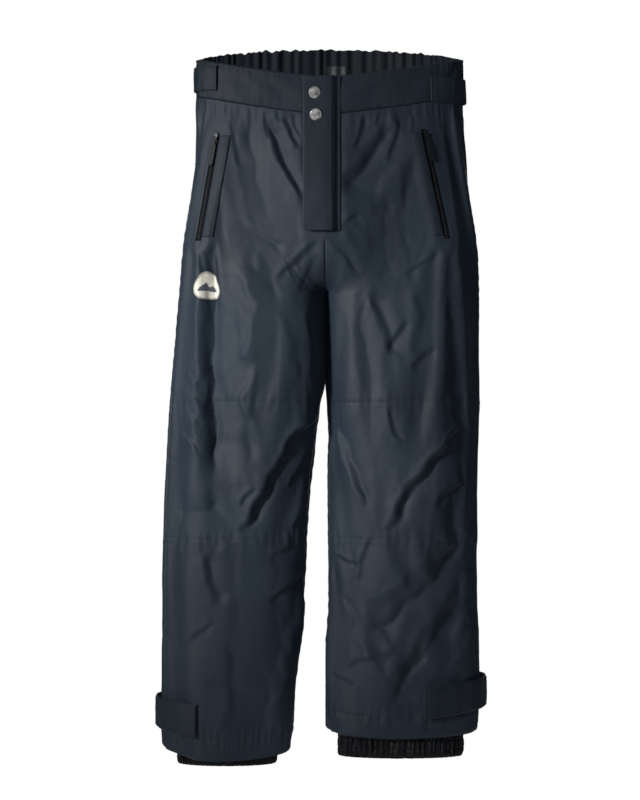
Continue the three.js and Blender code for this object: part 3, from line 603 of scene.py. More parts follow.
def blocks(centres, alongs, normals, size, taper=0.55):
    """Small rounded blocks, one at each centre: size is (length, width, height)."""
    alongs, normals = unit(alongs), unit(normals)
    sides = unit(np.cross(normals, alongs))
    length, width, tall = (np.asarray(v, float) for v in size)
    rings = [(-0.5, 0.35, 0.35), (-0.32, 1, 1), (0.32, 1, 1), (0.5, 0.35, 0.35)]
    bulge = 0.5 * taper + 0.12
    section = [(-0.5, 0), (-bulge, 0.62), (-0.18, 1), (0.18, 1), (bulge, 0.62), (0.5, 0)]
    points = []
    for a, w, h in rings:
        for s, u in section:
            points.append(centres + alongs * (a * length) + sides * (s * width * w) + normals * (u * tall * h))
    points = np.stack(points, axis=1)  # blocks, 24, 3
    k = len(section)
    faces = []
    for r in range(len(rings) - 1):
        for i in range(k - 1):
            a = r * k + i
            faces.append((a, a + 1, a + k + 1, a + k))
        faces.append((r * k + k - 1, r * k, (r + 1) * k, (r + 1) * k + k - 1))
    faces += [(0, 5, 4, 1), (1, 4, 3, 2), (18, 19, 22, 23), (19, 20, 21, 22)]
    faces = np.array(faces)
    n = len(centres)
    return points.reshape(-1, 3), (faces[None] + (np.arange(n) * points.shape[1])[:, None, None]).reshape(-1, 4)


def stitches(path, normals, pitch=3.3, length=2.5, width=0.75, tall=0.42, lift=0.0):
    """A row of stitches on a path of points with normals."""
    path, normals = np.asarray(path, float), np.asarray(normals, float)
    d = np.r_[0, np.cumsum(np.linalg.norm(np.diff(path, axis=0), axis=1))]
    count = max(int(d[-1] / pitch), 1)
    s = (np.arange(count) + 0.5) * d[-1] / count
    at = lambda v, q: np.stack([np.interp(q, d, v[:, k]) for k in range(3)], axis=-1)
    centre = at(path, s)
    direction = at(path, np.minimum(s + 1, d[-1])) - at(path, np.maximum(s - 1, 0))
    normal = unit(at(normals, s))
    return blocks(centre + normal * lift, direction, normal, (length, width, tall))


def seam_row(side, t, z, lift=0.0, surface=skin, **size):
    """Stitches on the skin along arrays of t and z."""
    t, z = np.broadcast_arrays(np.asarray(t, float), np.asarray(z, float))
    p = surface(side, t, z)
    e = 0.002
    du = surface(side, t + e, z) - surface(side, t - e, z)
    dv = surface(side, t, z + 1) - surface(side, t, z - 1)
    n = unit(np.cross(du, dv) * SIGN[side])
    return stitches(p, n, lift=lift, **size)


# ---------- materials ----------

def node_material(name, color, roughness, metallic=0.0, sheen=0.0, sheen_roughness=0.4, specular=0.5, coat=0.0):
    m = bpy.data.materials.new(name)
    m.use_nodes = True
    tree = m.node_tree
    tree.nodes.clear()
    out = tree.nodes.new("ShaderNodeOutputMaterial")
    shader = tree.nodes.new("ShaderNodeBsdfPrincipled")
    tree.links.new(shader.outputs[0], out.inputs[0])
    shader.inputs["Base Color"].default_value = (*color, 1)
    shader.inputs["Roughness"].default_value = roughness
    shader.inputs["Metallic"].default_value = metallic
    shader.inputs["Sheen Weight"].default_value = sheen
    shader.inputs["Sheen Roughness"].default_value = sheen_roughness
    shader.inputs["Sheen Tint"].default_value = (0.75, 0.85, 1.0, 1)
    shader.inputs["Specular IOR Level"].default_value = specular
    shader.inputs["Coat Weight"].default_value = coat
    shader.inputs["Coat Roughness"].default_value = 0.3
    return m, tree, shader


def noise_node(tree, coords, scale, detail=3.0, rough=0.5, stretch=None):
    vector = coords
    if stretch:
        mapping = tree.nodes.new("ShaderNodeMapping")
        mapping.inputs["Scale"].default_value = stretch
        tree.links.new(coords, mapping.inputs["Vector"])
        vector = mapping.outputs[0]
    n = tree.nodes.new("ShaderNodeTexNoise")
    n.inputs["Scale"].default_value = scale
    n.inputs["Detail"].default_value = detail
    n.inputs["Roughness"].default_value = rough
    tree.links.new(vector, n.inputs["Vector"])
    return n.outputs["Fac"]


def weave_node(tree, coords, pitch_m):
    """Two crossed sets of threads. Returns a height from 0 to 1."""
    out = []
    for direction in ("X", "Z"):
        w = tree.nodes.new("ShaderNodeTexWave")
        w.wave_type = "BANDS"
        w.bands_direction = direction
        w.inputs["Scale"].default_value = 0.314 / pitch_m
        w.inputs["Distortion"].default_value = 0.6
        w.inputs["Detail"].default_value = 1.0
        w.inputs["Detail Scale"].default_value = 2.0
        tree.links.new(coords, w.inputs["Vector"])
        out.append(w.outputs["Fac"])
    m = tree.nodes.new("ShaderNodeMath")
    m.operation = "MAXIMUM"
    tree.links.new(out[0], m.inputs[0])
    tree.links.new(out[1], m.inputs[1])
    return m.outputs[0]


def ramp(tree, fac, low, high, a=0.35, b=0.65):
    r = tree.nodes.new("ShaderNodeMapRange")
    r.inputs["From Min"].default_value = a
    r.inputs["From Max"].default_value = b
    r.inputs["To Min"].default_value = low
    r.inputs["To Max"].default_value = high
    tree.links.new(fac, r.inputs["Value"])
    return r.outputs["Result"]


def color_mix(tree, fac, a, b):
    m = tree.nodes.new("ShaderNodeMix")
    m.data_type = "RGBA"
    m.inputs[6].default_value = (*a, 1)
    m.inputs[7].default_value = (*b, 1)
    tree.links.new(fac, m.inputs[0])
    return m.outputs[2]


def bump_chain(tree, shader, layers):
    """layers of (height, strength, distance in metres)."""
    normal = None
    for fac, strength, distance in layers:
        b = tree.nodes.new("ShaderNodeBump")
        b.inputs["Strength"].default_value = strength
        b.inputs["Distance"].default_value = distance
        tree.links.new(fac, b.inputs["Height"])
        if normal is not None:
            tree.links.new(normal, b.inputs["Normal"])
        normal = b.outputs[0]
    tree.links.new(normal, shader.inputs["Normal"])


def object_coords(tree):
    return tree.nodes.new("ShaderNodeTexCoord").outputs["Object"]


def cloth_material(
    name, dark, light, roughness, sheen, pitch_m=0.0009, crinkle=1.0, weave=0.25, specular=0.45, coat=0.0
):
    """Woven nylon: threads, a fine crinkle and slow changes of shade and gloss."""
    m, tree, shader = node_material(name, dark, roughness[0], sheen=sheen, specular=specular, coat=coat)
    co = object_coords(tree)
    slow = noise_node(tree, co, 9, 4)
    speck = noise_node(tree, co, 420, 2, 0.6)
    tone = tree.nodes.new("ShaderNodeMath")
    tone.operation = "MULTIPLY_ADD"
    tree.links.new(speck, tone.inputs[0])
    tone.inputs[1].default_value = 0.35
    tree.links.new(slow, tone.inputs[2])
    shade = ramp(tree, tone.outputs[0], 0, 1, 0.5, 0.85)
    tree.links.new(color_mix(tree, shade, dark, light), shader.inputs["Base Color"])
    tree.links.new(ramp(tree, slow, roughness[0], roughness[1]), shader.inputs["Roughness"])
    crinkles = noise_node(tree, co, 95, 5, 0.62)
    wave = noise_node(tree, co, 34, 3, 0.5)
    threads = weave_node(tree, co, pitch_m)
    bump_chain(
        tree, shader, [(wave, 0.5 * crinkle, 0.0022), (crinkles, 0.42 * crinkle, 0.0012), (threads, weave, 0.00025)]
    )
    return m


def metal_material(name, color, roughness, metallic=1.0):
    m, tree, shader = node_material(name, color, roughness, metallic=metallic)
    co = object_coords(tree)
    worn = noise_node(tree, co, 260, 4, 0.6)
    tree.links.new(
        color_mix(tree, ramp(tree, worn, 0, 1), tuple(0.35 * c for c in color), color), shader.inputs["Base Color"]
    )
    tree.links.new(ramp(tree, worn, roughness + 0.18, roughness), shader.inputs["Roughness"])
    bump_chain(tree, shader, [(worn, 0.3, 0.0003)])
    return m


SHELL_M = cloth_material(
    "nylon_shell", (0.0115, 0.0195, 0.0305), (0.0170, 0.0275, 0.0415), (0.54, 0.64), 0.05, crinkle=0.4, specular=0.24
)
BAND_M = cloth_material(
    "nylon_waistband", (0.0085, 0.0140, 0.0222), (0.0126, 0.0202, 0.0310), (0.56, 0.66), 0.04, crinkle=0.45,
    specular=0.22
)
LINING_M = cloth_material("lining", (0.008, 0.0095, 0.012), (0.014, 0.016, 0.02), (0.42, 0.52), 0.2, crinkle=0.6)
FACING_M = cloth_material(
    "waistband_facing_cloth", (0.0045, 0.0072, 0.011), (0.0080, 0.0124, 0.0185), (0.62, 0.74), 0.04, crinkle=0.5,
    specular=0.2
)
ELASTIC_M = cloth_material(
    "woven_elastic", (0.014, 0.016, 0.019), (0.028, 0.031, 0.036), (0.8, 0.9), 0.2, pitch_m=0.0018, weave=0.9
)
PILE_M = cloth_material(
    "loop_pile", (0.007, 0.008, 0.01), (0.02, 0.022, 0.026), (0.9, 1.0), 0.6, pitch_m=0.0016, weave=1.0
)
GAITER_M = cloth_material(
    "gaiter_nylon", (0.0015, 0.0018, 0.0034), (0.0026, 0.0030, 0.0056), (0.44, 0.54), 0.0, specular=0.22, crinkle=0.4
)
TAPE_M = cloth_material(
    "zip_tape", (0.003, 0.0035, 0.005), (0.006, 0.007, 0.009), (0.8, 0.9), 0.0, specular=0.15, pitch_m=0.001,
    weave=0.8
)
TEETH_M = cloth_material(
    "zip_teeth", (0.004, 0.0045, 0.006), (0.008, 0.009, 0.011), (0.38, 0.48), 0.0, weave=0.05, crinkle=0.2,
    specular=0.35
)
THREAD_M = cloth_material(
    "thread", (0.010, 0.0165, 0.026), (0.0175, 0.0275, 0.041), (0.5, 0.6), 0.05, specular=0.3, pitch_m=0.0005,
    weave=0.5, crinkle=0.2
)
PULL_M = cloth_material(
    "pull_rubber", (0.004, 0.005, 0.007), (0.008, 0.0095, 0.012), (0.55, 0.65), 0.0, specular=0.22, weave=0.08,
    crinkle=0.4
)
METAL_M = metal_material("brushed_silver", (0.78, 0.77, 0.74), 0.34, 0.7)
SLIDER_M = metal_material("dark_metal", (0.045, 0.048, 0.052), 0.42)
BADGE_M = cloth_material(
    "badge_cloth", (0.62, 0.60, 0.53), (0.78, 0.755, 0.68), (0.7, 0.8), 0.2, pitch_m=0.0012, weave=0.9, crinkle=0.3
)
RIM_M = cloth_material(
    "badge_rim", (0.30, 0.295, 0.27), (0.48, 0.465, 0.42), (0.6, 0.7), 0.2, pitch_m=0.0009, weave=0.9, crinkle=0.3
)
MOTIF_M = cloth_material(
    "badge_motif", (0.05, 0.06, 0.075), (0.08, 0.095, 0.115), (0.6, 0.7), 0.2, pitch_m=0.0009, weave=0.9, crinkle=0.3
)
LABEL_M = cloth_material("label", (0.016, 0.019, 0.025), (0.024, 0.028, 0.036), (0.55, 0.62), 0.1, crinkle=0.2)


# ---------- camera and light ----------

camera_data = bpy.data.cameras.new("camera")
camera = bpy.data.objects.new("camera", camera_data)
COLLECTION.objects.link(camera)
DISTANCE = 3.2
HALF_HEIGHT = 0.532  # of the view, at the garment
camera.location = (-0.007, -DISTANCE, -0.432)
camera.rotation_euler = (math.radians(90), 0, 0)
camera_data.sensor_width = 36
camera_data.lens = 18 * DISTANCE / HALF_HEIGHT
camera_data.clip_end = 30
bpy.context.scene.camera = camera


def area_light(name, place, aim, size, power, tint=(1, 1, 1)):
    data = bpy.data.lights.new(name, "AREA")
    data.shape = "RECTANGLE"
    data.size, data.size_y = size
    data.energy = power
    data.color = tint
    o = bpy.data.objects.new(name, data)
    o.location = place
    o.rotation_euler = (Vector(aim) - Vector(place)).to_track_quat("-Z", "Y").to_euler()
    COLLECTION.objects.link(o)
    return o


key = area_light("key", (-1.9, -1.8, 0.1), (-0.1, 0, -0.34), (0.5, 0.6), 3.1, (1.0, 0.99, 0.97))
key.data.spread = math.radians(30)
area_light("fill", (0.9, -3.2, 0.5), (0, 0, -0.4), (1.6, 1.8), 8.5, (0.92, 0.96, 1.0))
area_light("top", (0.1, -0.5, 2.2), (0, 0, -0.4), (1.6, 1.2), 6)
area_light("back_left", (-0.7, 3.0, 0.7), (0, 0, -0.45), (1.2, 1.6), 40)
area_light("back_right", (0.7, 3.0, 0.2), (0, 0, -0.45), (1.2, 1.6), 18)

world = bpy.data.worlds.new("studio")
bpy.context.scene.world = world
world.use_nodes = True
wt = world.node_tree
wt.nodes.clear()
w_out = wt.nodes.new("ShaderNodeOutputWorld")
w_mix = wt.nodes.new("ShaderNodeMixShader")
w_path = wt.nodes.new("ShaderNodeLightPath")
w_soft, w_white = wt.nodes.new("ShaderNodeBackground"), wt.nodes.new("ShaderNodeBackground")
for shader, color, strength in ((w_soft, (0.9, 0.95, 1.0, 1), 0.075), (w_white, (1, 1, 1, 1), 1.0)):
    shader.inputs[0].default_value, shader.inputs[1].default_value = color, strength
wt.links.new(w_path.outputs["Is Camera Ray"], w_mix.inputs[0])
wt.links.new(w_soft.outputs[0], w_mix.inputs[1])
wt.links.new(w_white.outputs[0], w_mix.inputs[2])
wt.links.new(w_mix.outputs[0], w_out.inputs[0])
bpy.context.scene.view_settings.view_transform = "Standard"
bpy.context.scene.view_settings.look = "None"

FLOOR_Z = -1300
FLOOR_SIDES = 96
floor_points = [(0, 0, FLOOR_Z)]
around = np.linspace(0, 2 * np.pi, FLOOR_SIDES, endpoint=False)
for r in (400, 800, 1100):
    floor_points += [(r * math.cos(a), r * math.sin(a), FLOOR_Z) for a in around]
floor_faces = []
for k in (1, 1 + FLOOR_SIDES):
    for i in range(FLOOR_SIDES):
        j = (i + 1) % FLOOR_SIDES
        floor_faces.append((k + i, k + FLOOR_SIDES + i, k + FLOOR_SIDES + j, k + j))
floor_m, floor_tree, floor_shader = node_material("floor", (0.86, 0.86, 0.86), 0.9)
floor_shader.inputs["Emission Color"].default_value = (1, 1, 1, 1)
floor_shader.inputs["Emission Strength"].default_value = 0.55
floor = new_object("floor", floor_points, floor_faces, floor_m)


# ---------- cloth simulation ----------

def simulate(side, frames=22):
    """Lets a slightly oversized cloth settle over the smooth surface, held at its seams. Returns its displacement."""
    cols, rows = 86, 118
    ts, zs = np.linspace(0.001, 0.999, cols), np.linspace(-34, -HEM_Z[side] + 2, rows)
    t, z = np.meshgrid(ts, zs)
    p = base(side, t, z)
    start = p + base_normal(side, t, z) * (0.8 * height(side, t, z, p[..., 0]))[..., None]
    o = new_object("sim_" + side, start.reshape(-1, 3), grid_faces(rows, cols))
    # rest shape: longer and wider than the space that the cloth hangs in
    shape = SHAPE[side]
    middle = SIGN[side] * (shape["outer"](z) + shape["inner"](z)) / 2
    knee = bell(z + 520, 120)
    ankle = bell(z + 830, 90)
    groin = bell(z + 280, 70)
    wide = 1.0 + 0.006 + 0.012 * bell(z + 80, 40) + 0.006 * ankle
    tall = 1.0 + 0.028 + 0.045 * knee + 0.03 * ankle + 0.03 * groin
    rest = p.copy()
    rest[..., 0] = middle + (p[..., 0] - middle) * wide
    rest[..., 1] = p[..., 1] * wide
    dz = np.gradient(z, axis=0) * tall
    rest[..., 2] = zs[0] + np.cumsum(dz, axis=0) - dz[0]
    o.shape_key_add(name="Basis")
    key = o.shape_key_add(name="rest")
    key.data.foreach_set("co", (rest.reshape(-1, 3) * 0.001).astype(np.float32).ravel())
    key.value = 0
    group = o.vertex_groups.new(name="pin")
    edge = np.minimum(t, 1 - t) * ROUND
    pin = 0.035 + 0 * t
    pin = np.maximum(pin, 1 - smooth(0, 14, waist_seam(t) - z))
    pin = np.maximum(pin, 0.75 * (1 - smooth(3, 16, edge)) * np.where(z > -430, 1, 0.55))
    for distance, width in ((z - knee_seam(t), 8), (z - LOWER_SEAM, 8), ((t - SIDE_SEAM) * ROUND, 9)):
        pin = np.maximum(pin, 0.30 * bell(distance, width))
    pin = np.maximum(pin, 0.4 * (1 - smooth(0, 16, z - hem(side, t))))
    pin = np.maximum(pin, calm(side, t, p[..., 0], z))
    for level in np.unique(np.round(pin, 2)):
        group.add(
            [int(i) for i in np.flatnonzero(np.round(pin.ravel(), 2) == level)], float(min(level, 1)), "REPLACE"
        )
    modifier = o.modifiers.new("cloth", "CLOTH")
    s = modifier.settings
    s.quality = 6
    s.mass = 0.25
    s.air_damping = 2.0
    s.tension_stiffness = s.compression_stiffness = 22
    s.shear_stiffness = 12
    s.bending_stiffness = 4.0
    s.tension_damping = s.compression_damping = s.shear_damping = 12
    s.bending_damping = 1.0
    s.vertex_group_mass = "pin"
    s.pin_stiffness = 0.6
    s.rest_shape_key = key
    s.use_pressure = True
    s.uniform_pressure_force = 0.25
    s.effector_weights.gravity = 0.6
    modifier.collision_settings.use_collision = False
    modifier.collision_settings.use_self_collision = False
    modifier.point_cache.frame_start, modifier.point_cache.frame_end = 1, frames
    scene = bpy.context.scene
    scene.frame_start, scene.frame_end = 1, frames
    for f in range(1, frames + 1):
        scene.frame_set(f)
    shown = o.evaluated_get(bpy.context.evaluated_depsgraph_get())
    co = np.zeros(len(o.data.vertices) * 3, np.float32)
    shown.data.vertices.foreach_get("co", co)
    moved = co.reshape(rows, cols, 3).astype(float) * 1000 - start
    bpy.data.objects.remove(o)
    scene.frame_set(1)
    most = 7.0
    size = np.linalg.norm(moved, axis=-1, keepdims=True)
    moved = moved * (most * np.tanh(size / most) / np.maximum(size, 1e-6))
    edge = np.minimum(t, 1 - t) * ROUND
    contact = (1 - smooth(10, 34, edge)) * (1 - smooth(450, 520, -z))
    normal = base_normal(side, t, z)
    out = (moved * normal).sum(-1)
    moved = moved - normal * (np.maximum(out, 0) * contact)[..., None]
    print("sim", side, "mean move", round(float(np.mean(size)), 2), "most", round(float(size.max()), 2))
    return (ts[0], ts[-1], zs[0], zs[-1], moved)


for side in SIDES:
    SIM[side] = simulate(side)


# ---------- shell ----------

STEP = 2.5


def slot_places(side):
    """t at the two edges of the pocket slot and at the edge of the fly slot, as functions of z."""
    zs = np.linspace(-40, -260, 60)
    ts = np.linspace(0, 0.5, 400)
    xs = np.abs(faceted(side, ts[None, :], zs[:, None])[..., 0])
    a, b, _ = ZIPS["pocket_" + side]
    middle = a[0] + (b[0] - a[0]) * clamp01((zs - a[2]) / (b[2] - a[2]))
    find = lambda x: np.array([np.interp(v, row, ts) for v, row in zip(x, xs)])
    return zs, find(np.abs(middle) - 4.0), find(np.abs(middle) + 4.0), find(np.full(len(zs), 5.0))


def warped(side, u, z):
    """t for columns u, so that the columns nearest the slots follow their edges. Also the slots' columns and rows."""
    zs, inner, outer, fly = SLOTS[side]
    near = lambda v: int(np.argmin(np.abs(u - np.mean(v))))
    k = max(near(fly), 1)
    i = near(inner[10:-20])
    j = max(near(outer[10:-20]), i + 3)
    row = lambda column, mark: int(np.argmin(np.abs(z[:, column] - mark)))
    top, low = ZIPS["pocket_" + side][0][2] + 0.5, ZIPS["pocket_" + side][1][2] - 0.5
    pocket_rows, fly_rows = (row(i, top), row(i, low)), (row(0, FLY_TOP), row(0, FLY_LOW))
    z = level_at(z, pocket_rows, (top, low), i, j)
    z = level_at(z, fly_rows, (FLY_TOP, FLY_LOW), 0, k)
    t = np.empty(z.shape)
    at = lambda v, height: float(np.interp(-height, -zs, v))
    for r in range(z.shape[0]):
        zi, zf = z[r, i], z[r, 0]
        s_pocket = 1 - smooth(14, 60, max(zi - top, low - zi))
        s_fly = 1 - smooth(5, 30, max(zf - FLY_TOP, FLY_LOW - zf))
        places = [
            0, lerp(u[k], at(fly, zf), s_fly), lerp(u[i], at(inner, zi), s_pocket),
            lerp(u[j], at(outer, zi), s_pocket), SIDE_SEAM, 1
        ]
        t[r] = np.interp(u, [0, u[k], u[i], u[j], SIDE_SEAM, 1], places)
    return t, z, (i, j, *pocket_rows), (0, k, *fly_rows)


def level_at(z, rows, marks, first, last):
    """Moves two rows to two heights between two columns, and the others along with them."""
    cols = np.arange(z.shape[1])
    weight = 1 - smooth(0, 14, np.maximum(np.maximum(first - cols, cols - last), 0))
    index = np.arange(z.shape[0])
    out = z.copy()
    for c in np.flatnonzero(weight > 0):
        move = [0, marks[0] - z[rows[0], c], marks[1] - z[rows[1], c], 0]
        out[:, c] += weight[c] * np.interp(index, [0, rows[0], rows[1], z.shape[0] - 1], move)
    return out


SLOTS = {side: slot_places(side) for side in SIDES}
FLY_TOP, FLY_LOW = ZIPS["fly"][0][2] + 0.3, ZIPS["fly"][1][2] - 0.3


def build_upper(side):
    cols = 236
    u = np.linspace(0, 1, cols)
    rows = 164
    b = np.linspace(0, 1, rows)
    top = waist_seam(u) - 0.4
    low = knee_seam(u)
    z = lerp(top[None, :], low[None, :], b[:, None])
    t, z, pocket, fly = warped(side, u, z)
    keep = np.ones((rows - 1, cols - 1), bool)
    for first, last, above, below in (pocket, fly):
        keep[above:below, first:last] = False
    o = add_piece(
        "shell_upper_" + side, ply(side, t, z, -SHELL, 0.0, keep), SHELL_M,
        instead_of=[n + side for n in ("hip_front_", "hip_back_", "hip_fold_", "thigh_front_", "thigh_back_")],
    )
    hip_blend(o, side)
    return o


def build_lower(side):
    cols = 240
    u = np.linspace(0, 1, cols)
    rows = 184
    b = np.linspace(0, 1, rows)
    z = lerp(knee_seam(u)[None, :], hem(side, u)[None, :], b[:, None])
    t = np.broadcast_to(u[None, :], z.shape)
    above = z - hem(side, t)
    fold = -1.2 * (1 - smooth(0, 3, above))
    o = add_piece(
        "shell_lower_" + side, ply(side, t, z, -SHELL, 0.0, extra=fold), SHELL_M,
        instead_of=[n + side for n in ("knee_front_", "knee_back_", "shin_front_", "shin_back_")],
    )
    knee_blend(o, side)
    return o


def hip_blend(o, side):
    """Bakes the piece's transform into its mesh."""
    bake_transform(o)


def knee_blend(o, side):
    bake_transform(o)


for side in SIDES:
    build_upper(side)
    build_lower(side)


# ---------- waistband ----------

def gather(side, t):
    """Ruffles of the elasticated back, as a height along the normal."""
    a = t * WAIST_ROUND * SIGN[side]
    back = smooth(0.47, 0.6, t)
    wave = a / 2.5 + 2.6 * perlin(a / 26, 0 * a, 71)
    back = back * lerp(0.6, 1.25, smooth(0.6, 0.82, t))
    return back * (
        1.5 * np.sin(wave) * (0.75 + 0.5 * perlin(a / 17, 0 * a + 9, 73)) + 1.3 * perlin(a / 8, 0 * a + 3, 72) + 2.0
        * perlin(a / 34, 0 * a + 5, 74)
    )


def band_grid(t0, t1, cols, rows, top_inset=0.0, low_inset=0.0):
    t = np.linspace(t0, t1, cols)
    b = np.linspace(0, 1, rows)[:, None]
    top, low = waist_top(t)[None, :] - top_inset, waist_seam(t)[None, :] + low_inset
    return np.broadcast_to(t[None, :], (rows, cols)), lerp(top, low, b), b


def band_puff(t, z, size):
    """Swelling between the topstitched edge and the seam, and small puckers along both."""
    s = clamp01((waist_top(t) - z) / BAND_HEIGHT)
    puff = size * np.sin(np.pi * clamp01((s - 0.10) / 0.84)) ** 0.7
    groove = -0.55 * bell((s - 0.10) * BAND_HEIGHT, 1.1)
    pucker = 0.45 * perlin(t * WAIST_ROUND / 7, s * 1.2, 75) * (0.35 + bell(s - 0.12, 0.14) + bell(s - 1, 0.16))
    return puff + groove + pucker + 1.5 * perlin(t * WAIST_ROUND / 44, s * 1.9 + 0.4 * t * 20, 76)


def both_backs(t0, cols, rows, make):
    """A grid right round the back: make(side, t, z, b) gives (outer, inner) point grids of one side."""
    got = []
    for side in SIDES:
        t, z, b = band_grid(t0, 1.0, cols, rows)
        got.append(make(side, t, z, b))
    (ro, ri), (lo, li) = got
    return np.concatenate([ro, lo[:, -2::-1]], axis=1), np.concatenate([ri, li[:, -2::-1]], axis=1)


for side in SIDES:
    t, z, b = band_grid(0.0008, SIDE_SEAM - 0.0009, 120, 30)
    add_piece(
        "waistband_front_piece_" + side, ply(side, t, z, -4.1, 0.0, rounding=2.2, extra=band_puff(t, z, 0.7)), BAND_M,
        "hips", instead_of=["waistband_front_" + side]
    )


def back_layer(
    name, node, low, high, material, t0, top_inset=0.0, low_inset=0.0, cols=190, rows=26, puff=0.0, scallop=1.0
):
    def make(side, t, z, b):
        edge = scallop * (0.8 * smooth(0.5, 0.62, t) + 2.6 * smooth(0.66, 0.84, t)) * (
            perlin(t * WAIST_ROUND * SIGN[side] / 9, 0 * t, 77) + 0.6
            * perlin(t * WAIST_ROUND * SIGN[side] / 30, 0 * t, 78)
        )
        z2 = lerp(waist_top(t) - top_inset + edge * (1 - b) ** 2, waist_seam(t) + low_inset, b)
        p = skin(side, t, z2)
        n = grid_normals(p, SIGN[side])
        p = p + n * (gather(side, t) * lerp(1.0, 0.75, b) + (band_puff(t, z2, puff) if puff else 0))[..., None]
        return p + n * high, p + n * low

    outer, inner = both_backs(t0, cols, rows, make)
    o = add_piece(name, slab(outer, inner, sign=-1.0), material, "hips", instead_of=[node])
    return o


back_piece = back_layer(
    "waistband_back_piece", "waistband_back", -2.4, 0.0, BAND_M, SIDE_SEAM + 0.001, puff=0.7
)
elastic_piece = back_layer(
    "waist_elastic_piece", "waist_elastic", -4.1, -2.7, ELASTIC_M, SIDE_SEAM + 0.02, 4, 4
)
facing_piece = back_layer(
    "waistband_facing_piece", "waistband_facing", -5.8, -4.4, FACING_M, 0.004, cols=300, scallop=1.0
)

label_t, label_z = np.meshgrid(np.linspace(0.9948, 0.953, 24), np.linspace(18, 3, 16))
label = add_piece(
    "waist_label",
    ply("left", label_t[:, ::-1], label_z, -7.2, -6.3, rounding=0.5, extra=0.6 * gather("left", label_t[:, ::-1])),
    LABEL_M
)
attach(label, "hips")

# ---------- linings ----------

LINING = 1.2  # thickness


def lining_between(side, top, low, rows, cols, depth, t0=0, t1=1, wrap=True):
    u = np.linspace(t0, t1, cols, endpoint=not wrap)
    z = lerp(top(u)[None, :], low(u)[None, :], np.linspace(0, 1, rows)[:, None])
    t = np.broadcast_to(u[None, :], z.shape)
    return ply(side, t, z, -depth - LINING, -depth, wrap=wrap)


flat = lambda v: (lambda u: np.full(np.shape(u), float(v)))
HIP_LINING_START = {"right": 0.085, "left": 0.072}  # t, clear of the fly
hip_parts = [
    lining_between(
        side, lambda u: waist_seam(u) - 0.4, flat(-241), 42, 110, 6.9, HIP_LINING_START[side], 0.9996, False
    )
    for side in SIDES
]
hip_lining = add_piece("hip_lining_piece", merge(hip_parts), LINING_M, instead_of=["hip_lining"])
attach(hip_lining, "hips")

for side in SIDES:
    upper = add_piece(
        "lining_thigh_piece_" + side, lining_between(side, flat(-345), flat(-449), 24, 130, 3.95), LINING_M,
        instead_of=["thigh_lining_" + side]
    )
    hip_blend(upper, side)
    lower = add_piece(
        "lining_shin_piece_" + side, lining_between(side, flat(-596), lambda u: hem(side, u) + 30, 56, 130, 3.95),
        LINING_M, instead_of=["shin_lining_" + side]
    )
    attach(lower, "shin_" + side)


# ---------- fly ----------

def front_t(side, x, z):
    """t of points at a distance x from the middle, on the front."""
    x, z = np.broadcast_arrays(np.asarray(x, float), np.asarray(z, float))
    low, high = np.zeros(x.shape), np.full(x.shape, 0.5)
    for _ in range(26):
        t = (low + high) / 2
        less = np.abs(faceted(side, t, z)[..., 0]) < np.abs(x)
        low, high = np.where(less, t, low), np.where(less, high, t)
    return (low + high) / 2


def front_points(x, z):
    """Points of the calm front surface over a grid of x and z."""
    t = np.where(x < 0, front_t("right", x, z), front_t("left", x, z))
    right, left = faceted("right", t, z), faceted("left", t, z)
    return np.where((x < 0)[..., None], right, left)


def front_sheet(x, z, low, high, rounding=0.0, extra=None, keep=None):
    p = front_points(x, z)
    n = grid_normals(p, 1.0)
    n = n * np.where(n[..., 1:2] > 0, -1, 1)
    thin = thinned(p, rounding) if rounding else np.zeros(p.shape[:2])
    if extra is not None:
        p = p + n * extra[..., None]
    depth = high - low
    return p + n * (high - depth * thin)[..., None], p + n * (low + depth * thin)[..., None], n


placket_low, placket_high = span_of("fly_placket")
PX0, PX1, PZ1, PZ0 = placket_low[0] + 0.6, placket_high[0] - 0.1, placket_high[2], placket_low[2]


PLACKET_LIFT = 6.2  # over the zip and its slider
PLACKET_PLY = 2.0
PLACKET_STITCHES = (10.5, 16.5)  # x of the two rows


def placket_lift(x):
    return lerp(PLACKET_LIFT, 0.3, smooth(7, 17, x))


def placket_relief(x, z):
    """Grooves under the topstitching, a soft swell between them, and a slight wave of the free edge."""
    rows = sum(-0.4 * bell(x - c, 1.0) for c in PLACKET_STITCHES)
    box = -0.4 * bell(z - (PZ0 + 5), 1.0) * (x < 10)
    swell = 0.5 * np.sin(np.pi * clamp01((x - PX0) / 36)) + 0.5 * perlin(x / 22, z / 34, 81)
    wave = 0.9 * smooth(-10, -29, x) * perlin(0 * x, z / 38, 82)
    pucker = 0.22 * perlin(x / 9, z / 6, 83) * (bell(x - 14, 7) + bell(x + 27, 4))
    caps = np.exp(-(((x + 15.5) / 12) ** 4) - ((z + 42) / 25) ** 4)
    return rows + box + (swell + wave + pucker) * (1 - caps)


nx, nz = 44, 160
xs = np.linspace(PX0, PX1, nx)
zs = np.linspace(PZ1, PZ0, nz)
gx, gz = np.meshgrid(xs, zs)
corner = 7.0  # the lower free corner is rounded
drop = np.maximum(0, corner - (gx - PX0))
rise = corner - np.sqrt(np.maximum(corner**2 - drop**2, 0))
gz = gz + rise * smooth(PZ0 + 40, PZ0, gz)
lift = placket_lift(gx)
top_p, low_p, placket_n = front_sheet(gx, gz, lift, lift + PLACKET_PLY, rounding=1.4, extra=placket_relief(gx, gz))
add_piece(
    "fly_placket_piece", slab(top_p, low_p), BAND_M, "placket", instead_of=["fly_placket"]
)


